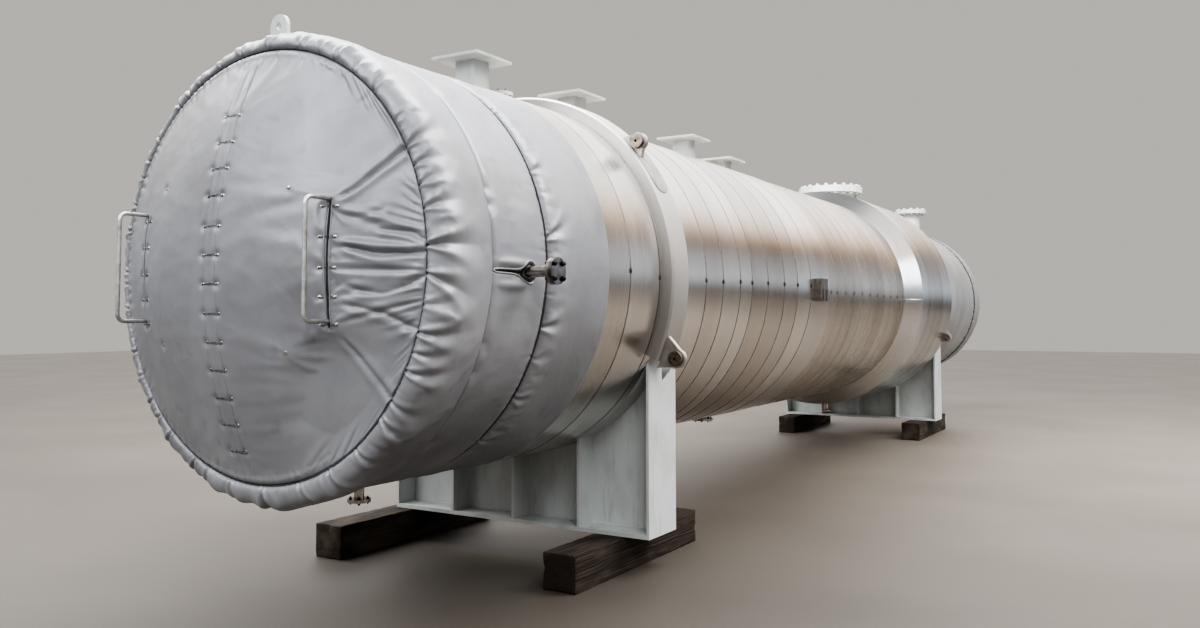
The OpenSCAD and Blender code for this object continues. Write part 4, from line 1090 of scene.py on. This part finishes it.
complete(straps, strap_steel)
plain_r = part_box("plain_cladding")[1].z - axis_z
laps = repeat(hoop("plain_sheet_laps", 24, 1.1), [round_place(x, plain_r) for x in plain_laps])
complete(laps, plain_sheet)
belt_laps = repeat(hoop("belt_sheet_laps", 22, 1.2),
    [round_place(x, belt_r) for x in (9400, 9820, 10240, 10660)])
complete(belt_laps, belt_sheet)
buckle = bar("strap_buckles", (19, 34, 4), (0, 0, 0.0015), 1.0)
work_on(buckle)
bpy.ops.object.transform_apply(location=True)
bpy.ops.object.mode_set(mode="EDIT")
bpy.ops.mesh.select_all(action="DESELECT")
bpy.ops.object.mode_set(mode="OBJECT")
for f in buckle.data.polygons:
    f.select = f.normal.z > 0.99 and f.area > 0.0003
bpy.ops.object.mode_set(mode="EDIT")
bpy.ops.mesh.inset(thickness=0.004)
bpy.ops.mesh.extrude_region_move(TRANSFORM_OT_translate={"value": (0, 0, 0.004)})
bpy.ops.transform.resize(value=(0.8, 0.7, 1))
bpy.ops.object.mode_set(mode="OBJECT")
angles = (0.7, -0.6, -0.3, -0.4, 0.1, 0.1, 0.4, 0.6, 0.7, 0.8)
buckles = repeat(buckle, [facing(on_round(along(x), a, clad_r + 0.001),
    (0, -math.cos(math.radians(a)), math.sin(math.radians(a)))) for x, a in zip(bands, angles)])
complete(buckles, wire_steel)
joint = bar("cone_sheet_joint", (316, 34, 2.4), (0, 0, 0), 0.8)
slope = math.atan2(belt_r - plain_r, 0.277)
joint.rotation_euler = (0, 0, 0)
work_on(joint)
place = Matrix.Translation((along(belt_start_mm) + 0.1385, -(plain_r + belt_r) / 2 - 0.001,
    axis_z - 0.06)) @ Matrix.Rotation(-slope, 4, "Z") @ Matrix.Rotation(math.radians(90), 4, "X")
joint.data.transform(place)
complete(joint, belt_sheet)
print(len(bands), "straps,", len(plain_laps) + 4, "laps,", len(angles), "buckles")

# %% [markdown]
# ### Bolting
#
# A flange is held by studs with a nut at each face. A hexagon nut is a six-sided turning
# whose corners are eased, and a stud is a bar that stands out by a thread or two.

# %% Bolting
def bolting(name, centre, out, circle_mm, count, low_mm, high_mm, nut_mm, high_nut_mm, material, start=0.0):
    """Studs and nuts round a flange. low and high are the outer faces, along out from centre."""
    c, n = nut_mm, high_nut_mm
    stud = turned("stud", [(low_mm - n - 6, 0.45 * c), (low_mm - n - 4, 0.54 * c),
        (high_mm + n + 4, 0.54 * c), (high_mm + n + 6, 0.45 * c)], 10)
    nut = turned("nut", [(0, 0.90 * c), (0.12 * n, c), (0.88 * n, c), (n, 0.90 * c)], 6)
    other = nut.copy()
    other.data = nut.data.copy()
    bpy.context.scene.collection.objects.link(other)
    nut.data.transform(Matrix.Translation((0, 0, high_mm * MM)))
    other.data.transform(Matrix.Translation((0, 0, (low_mm - n) * MM)))
    bare_scene()
    for o in (stud, nut, other):
        o.select_set(True)
    bpy.context.view_layer.objects.active = stud
    bpy.ops.object.join()
    one = bpy.context.object
    one.name = name
    frame_to = facing(centre, out)
    places = []
    for i in range(count):
        a = math.radians(start + 360 * i / count)
        places.append(frame_to @ Matrix.Translation((math.cos(a) * circle_mm * MM,
            math.sin(a) * circle_mm * MM, 0)) @ Matrix.Rotation(a, 4, "Z"))
    return complete(repeat(one, places), material)
def top(x_mm, y=0.0):
    return Vector((along(x_mm), y, axis_z))
inlet_x = (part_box("inlet_cover")[0].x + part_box("inlet_cover")[1].x) / 2
nozzle_mid = (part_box("rear_nozzle_cover")[0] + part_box("rear_nozzle_cover")[1]) / 2
bolting("inlet_bolting", Vector((inlet_x, 0, axis_z)), (0, 0, 1), 391, 20, 1465, 1551, 26, 24, flange_paint,
    9)
bolting("rear_nozzle_bolting", Vector((nozzle_mid.x, nozzle_mid.y, axis_z)), (0, 0, 1), 214, 12, 1462, 1526,
    20, 19, flange_paint, 15)
side = Vector((along(712), 0, axis_z - 0.038))
bolting("near_blind_bolting", side, (0, -1, 0), 56, 4, 1411, 1449, 14, 12, black_bolt, 45)
bolting("far_blind_bolting", side, (0, 1, 0), 56, 4, 1411, 1449, 14, 12, black_bolt, 45)
bolting("vent_bolting", top(2118), (0, 0, 1), 70, 8, 1340, 1364, 11, 9, black_bolt, 22.5)
bolting("front_drain_bolting", top(750), (0, 0, -1), 50, 4, 1355, 1375, 9, 8, black_bolt, 45)
bolting("main_drain_bolting", top(5535), (0, 0, -1), 88, 8, 1300, 1320, 10, 8, black_bolt, 22.5)
bolting("belt_drain_bolting", top(9517), (0, 0, -1), 45, 4, 1534, 1554, 8, 7, black_bolt, 45)
print("bolting done")

# %% [markdown]
# ### Lacing, rivets and cords
#
# Lacing pins are welded to the insulation's mesh, and the cloth is pressed over them and
# locked with a domed washer. Soft wire then ties each pair of pins across the seam. The two
# handle slits have a piped hem on each side. Cords lie in the grooves between the jackets.

# %% Lacing
pad_skin = BVHTree.FromPolygons([v.co for v in pad.data.vertices], [p.vertices for p in pad.data.polygons])
def dome_place(y, z, out_mm=0.0):
    """A place on the settled cloth of the pad, its Z along the dome's own outward line."""
    out = Vector((-1, 2 * dome_h * y / rim_r ** 2, 2 * dome_h * z / rim_r ** 2)).normalized()
    hit = pad_skin.ray_cast(on_dome(y, z) + out * 0.15, -out, 0.3)[0]
    return facing((hit or on_dome(y, z)) + out * out_mm * MM, out)
pin = turned("lacing_pins", [(-4, 9), (0, 10), (1.6, 9), (3, 6), (3.5, 2.8), (9, 2.6), (10, 4.4),
    (11.5, 4.4), (12.5, 2.6)], 14)
complete(repeat(pin, [dome_place(y, z, 1) for y, z in pins]), pin_steel)
rivet = turned("snap_rivets", [(-4, 10), (0, 11), (2, 10), (3.8, 6), (4.2, 2.5)], 14)
complete(repeat(rivet, [dome_place(y, z, 1) for y, z in rivets]), pin_steel)
wires = []
for (y0, z0), (y1, z1) in zip(pins[0::2], pins[1::2]):
    for rise, tilt in ((3, 0.004), (-3, -0.004)):
        path = []
        for k in range(9):
            f = k / 8
            p = dome_place(y0 + (y1 - y0) * f, z0 + (z1 - z0) * f + rise * MM * math.sin(math.pi * f)
                + tilt * (1 - 2 * f), 6 - 3.5 * math.sin(math.pi * f))
            path.append(p.translation)
        wires.append(bent_rod("lacing_wires", path, 1.3, 6))
bare_scene()
for w in wires:
    w.select_set(True)
bpy.context.view_layer.objects.active = wires[0]
bpy.ops.object.join()
complete(bpy.context.object, wire_steel)
edges = []
for d, wobble in ((-0.050, 3.0), (0.050, 7.0)):
    zs = np.linspace(-1.085, 1.085, 220)
    path = [dome_place(seam_y + d + 0.0022 * math.sin(z * 23 + wobble) + 0.0015 * math.sin(z * 61), z,
        0.3).translation for z in zs]
    edges.append(bent_rod("flap_stitching", path, 1.3, 6))
bare_scene()
for e in edges:
    e.select_set(True)
bpy.context.view_layer.objects.active = edges[0]
bpy.ops.object.join()
complete(bpy.context.object, cloth)
hems = []
for y in (near_slit, far_slit):
    for d in (-0.021, 0.005):
        zs = np.linspace(-0.338, 0.296, 40)
        path = [dome_place(y + d + 0.006 * math.sin(z * 9 + d * 90) * 0.5, z, -1).translation for z in zs]
        hems.append(bent_rod("slit_hems", path, 5.5, 8))
bare_scene()
for h in hems:
    h.select_set(True)
bpy.context.view_layer.objects.active = hems[0]
bpy.ops.object.join()
complete(bpy.context.object, cloth)
gaps = []
for y in (near_slit, far_slit):
    path = [dome_place(y - 0.008, z, -2).translation for z in np.linspace(-0.330, 0.288, 30)]
    gaps.append(bent_rod("slit_openings", path, 6, 8))
bare_scene()
for g in gaps:
    g.select_set(True)
bpy.context.view_layer.objects.active = gaps[0]
bpy.ops.object.join()
complete(bpy.context.object, dark_gap)
print(len(pins), "lacing pins,", len(wires), "wires,", len(rivets), "rivets")

# %% Cords in the grooves
def groove_cord(name, x_mm, r_mm, thick_mm, wander):
    path = []
    for k in range(360):
        a = k + 0.0
        path.append(on_round(along(x_mm) + wander * MM * ripple([a], 70.0 + x_mm, 0.16)[0], a,
            (r_mm + 1.5 * ripple([a], 71.0 + x_mm, 0.12)[0]) * MM))
    print(f"{name}: {sum(math.dist(p, q) for p, q in zip(path, path[1:] + path[:1])):.2f} m long")
    complete(bent_rod(name, path, thick_mm, 8, closed=True), cord_finish)
groove_cord("front_cord", 9, 1169, 4, 1.5)
groove_cord("collar_cord", 907, 1246, 3.6, 1.5)
groove_cord("rear_cord", mid_seam + 4, 1213, 9, 2.0)
groove_cord("rear_rim_cord", rear_x - 2, 1170, 6, 2.0)
print("cords laid")

# %% [markdown]
# ### Timbers
#
# A baulk is sawn square and then knocked about for years. A plain bar gets eased edges and
# a fine grid, and then each point moves by noise that is strongest at the corners, so the
# edges chip and the faces dish.

# %% Timbers
def baulk(name, over, seed):
    low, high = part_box(over)
    size = high - low
    o = bar(name, [v * 1000 for v in size], (low + high) / 2, 7)
    work_on(o)
    bpy.ops.object.transform_apply(location=True)
    bpy.ops.object.mode_set(mode="EDIT")
    for k in range(1, 44):
        bpy.ops.mesh.select_all(action="SELECT")
        bpy.ops.mesh.bisect(plane_co=(low.x + size.x * k / 44, 0, 0), plane_no=(1, 0, 0))
    for axis, count in ((1, 7), (2, 7)):
        for k in range(1, count):
            at, no = list(low), [0, 0, 0]
            at[axis] += size[axis] * k / count
            no[axis] = 1
            bpy.ops.mesh.select_all(action="SELECT")
            bpy.ops.mesh.bisect(plane_co=at, plane_no=no)
    bpy.ops.object.mode_set(mode="OBJECT")
    mid = (low + high) / 2
    for v in o.data.vertices:
        p = v.co - mid
        edge = sorted(abs(p[i]) / (size[i] / 2) for i in range(3))[1] ** 8
        dig = noise.noise(Vector((v.co.x * 5, v.co.y * 14, v.co.z * 14 + seed)))
        chip = max(0.0, noise.noise(Vector((v.co.x * 16, v.co.y * 16 + seed, v.co.z * 16))) - 0.12)
        inward = -p.normalized()
        v.co += inward * (0.0035 * (dig + 0.9) + 0.045 * chip * edge)
        v.co.z = max(v.co.z, low.z) if p.z < 0 else v.co.z
    complete(o, creosoted_timber(name + "_creosoted", mid.y + 0.05 * math.sin(seed), mid.z - 0.04))
    work_on(o)
    bpy.ops.object.shade_smooth_by_angle(angle=math.radians(28))
    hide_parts(over)
for seed, over in enumerate(("near_front_timber", "far_front_timber", "near_rear_timber", "far_rear_timber")):
    baulk(over.replace("timber", "baulk"), over, 3.0 + 5 * seed)
print("four baulks")

# %% [markdown]
# ### Plates, lips and small marks
#
# Where a lug pulls on thin sheet, a tongue of thicker plate spreads the load. It is cut with
# a round end and rolled to the ring. The side nozzle leaves its jacket by a slit with hemmed
# lips, laced beside the neck. The bracket carries two blank strips for a tag. Short screws
# hold the laps of the plain sheet.

# %% Tongue plates under the upper lugs
def tongue(name, side, x0, x1, top_deg, end_deg, r_mm, thick_mm):
    """A plate with a round lower end, rolled to a radius, on the near side (1) or the far side (-1)."""
    bare_scene()
    bpy.ops.mesh.primitive_grid_add(x_subdivisions=26, y_subdivisions=40, size=2, location=(0, 0, 0))
    o = bpy.context.object
    o.name = name
    half, long = (x1 - x0) / 2, math.radians(top_deg - end_deg) * r_mm
    for v in o.data.vertices:
        a, b = v.co.x, (v.co.y + 1) / 2
        down = (1 - b) * (long - half * (1 - math.sqrt(max(0.0, 1 - a * a))))
        out = on_round(along((x0 + x1) / 2 + a * half), top_deg - math.degrees(down / r_mm),
            (r_mm + 0.5) * MM)
        v.co = (out.x, out.y * side, out.z)
    solid = o.modifiers.new("plate", "SOLIDIFY")
    solid.thickness = thick_mm * MM
    solid.offset = side
    edge = o.modifiers.new("edge", "BEVEL")
    edge.width = 1.2 * MM
    edge.limit_method = "ANGLE"
    work_on(o)
    bpy.ops.object.modifier_apply(modifier="plate")
    bpy.ops.object.modifier_apply(modifier="edge")
    bpy.ops.object.shade_smooth_by_angle(angle=math.radians(35))
    return complete(o, plate_steel)
ring_mm = ring_r / MM
for side, name in ((1, "near_lug_tongue"), (-1, "far_lug_tongue")):
    tongue(name, side, 2258, 2452, 41.5, 25.0, ring_mm, 4)
print("two tongue plates")

# %% Slit round the near nozzle
channel_skin = BVHTree.FromPolygons([v.co for v in channel.data.vertices],
    [p.vertices for p in channel.data.polygons])
def on_channel(x_mm, z_mm, out_mm):
    """A place on the near side of the channel jacket, at its height over the axis."""
    deg = math.degrees(math.asin(z_mm / 1262))
    far, near = on_round(along(x_mm), deg, 1.4), on_round(along(x_mm), deg, 1.1)
    hit = channel_skin.ray_cast(far, near - far, 0.3)[0] or on_round(along(x_mm), deg, 1.258)
    return hit + (far - near).normalized() * out_mm * MM
upper = [(410, -38), (440, -32), (520, -30), (600, -29), (645, -22), (672, 2), (700, 18), (735, 18),
    (760, 0), (768, -20)]
lower = [(410, -40), (430, -50), (500, -52), (580, -54), (640, -62), (668, -82), (700, -98), (735, -98),
    (758, -80), (768, -56)]
lips = [bent_rod("nozzle_slit_lips", [on_channel(x, z, 1.5) for x, z in curve_through(line, 9)], 5.5,
    8) for line in (upper, lower)]
bare_scene()
for o in lips:
    o.select_set(True)
bpy.context.view_layer.objects.active = lips[0]
bpy.ops.object.join()
complete(bpy.context.object, cloth)
neck = [(712 + 46 * math.cos(k * math.pi / 18), -38 + 46 * math.sin(k * math.pi / 18)) for k in range(36)]
gaps = [bent_rod("nozzle_slit_gap", [on_channel(x, z, -5) for x,
    z in curve_through([(425, -41), (520, -41), (600, -41), (662, -40)], 9)], 8, 8),
        bent_rod("nozzle_slit_gap", [on_channel(x, z, -5) for x, z in neck], 12, 8, closed=True)]
gaps += [bent_rod("nozzle_slit_gap", [on_channel(x + lean * k, -22 - 9 * k,
    3 if 0 < k < 4 else -1) for k in range(5)], 1.6, 6)
         for x, lean in ((455, 2), (500, -2), (548, 2), (596, -2), (632, 1))]
bare_scene()
for o in gaps:
    o.select_set(True)
bpy.context.view_layer.objects.active = gaps[0]
bpy.ops.object.join()
complete(bpy.context.object, dark_gap)
print("nozzle slit laced")

# %% Blank strips, lap screws and weld beads
face_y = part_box("nameplate_bracket")[0].y
strip = bar("bracket_strips", (36, 104, 3), (0, 0, 0), 0.8)
places = [facing(Vector((along(x), face_y - 0.001, axis_z - 0.062)), (0, -1, 0)) for x in (5408, 5456, 5504)]
complete(repeat(strip, places[:1] + places[2:]), dark_plate)
screw = turned("lap_screws", [(-2, 9), (0, 9.5), (1.2, 9), (1.4, 6.6), (5.4, 6.4), (6.2, 5.2)], 6)
screws = []
for i, x in enumerate(plain_laps + [5500, 5620, 5740, 5880]):
    for deg in (-0.8, -1.5):
        a = deg + 0.3 * math.sin(7.0 * i)
        screws.append(facing(on_round(along(x - 6), a, plain_r + (0.0095 if x < plain_start_mm else 0.0015)),
            (0, -math.cos(math.radians(a)), math.sin(math.radians(a)))))
complete(repeat(screw, screws), wire_steel)
beads = []
for which in ("front", "rear"):
    low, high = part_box(which + "_saddle_web")
    base_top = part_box(which + "_saddle_base")[1].z
    for x, lean in ((low.x, -0.004), (high.x, 0.004)):
        line = [(x + lean, y, base_top + 0.003 + 0.0008 * math.sin(y * 700))
            for y in np.linspace(low.y + 0.02, high.y - 0.02, 400)]
        beads.append(bent_rod("saddle_welds", line, 6.5, 8))
bare_scene()
for o in beads:
    o.select_set(True)
bpy.context.view_layer.objects.active = beads[0]
bpy.ops.object.join()
complete(bpy.context.object, paint)
print("two strips,", len(screws), "screws,", len(beads), "weld beads")
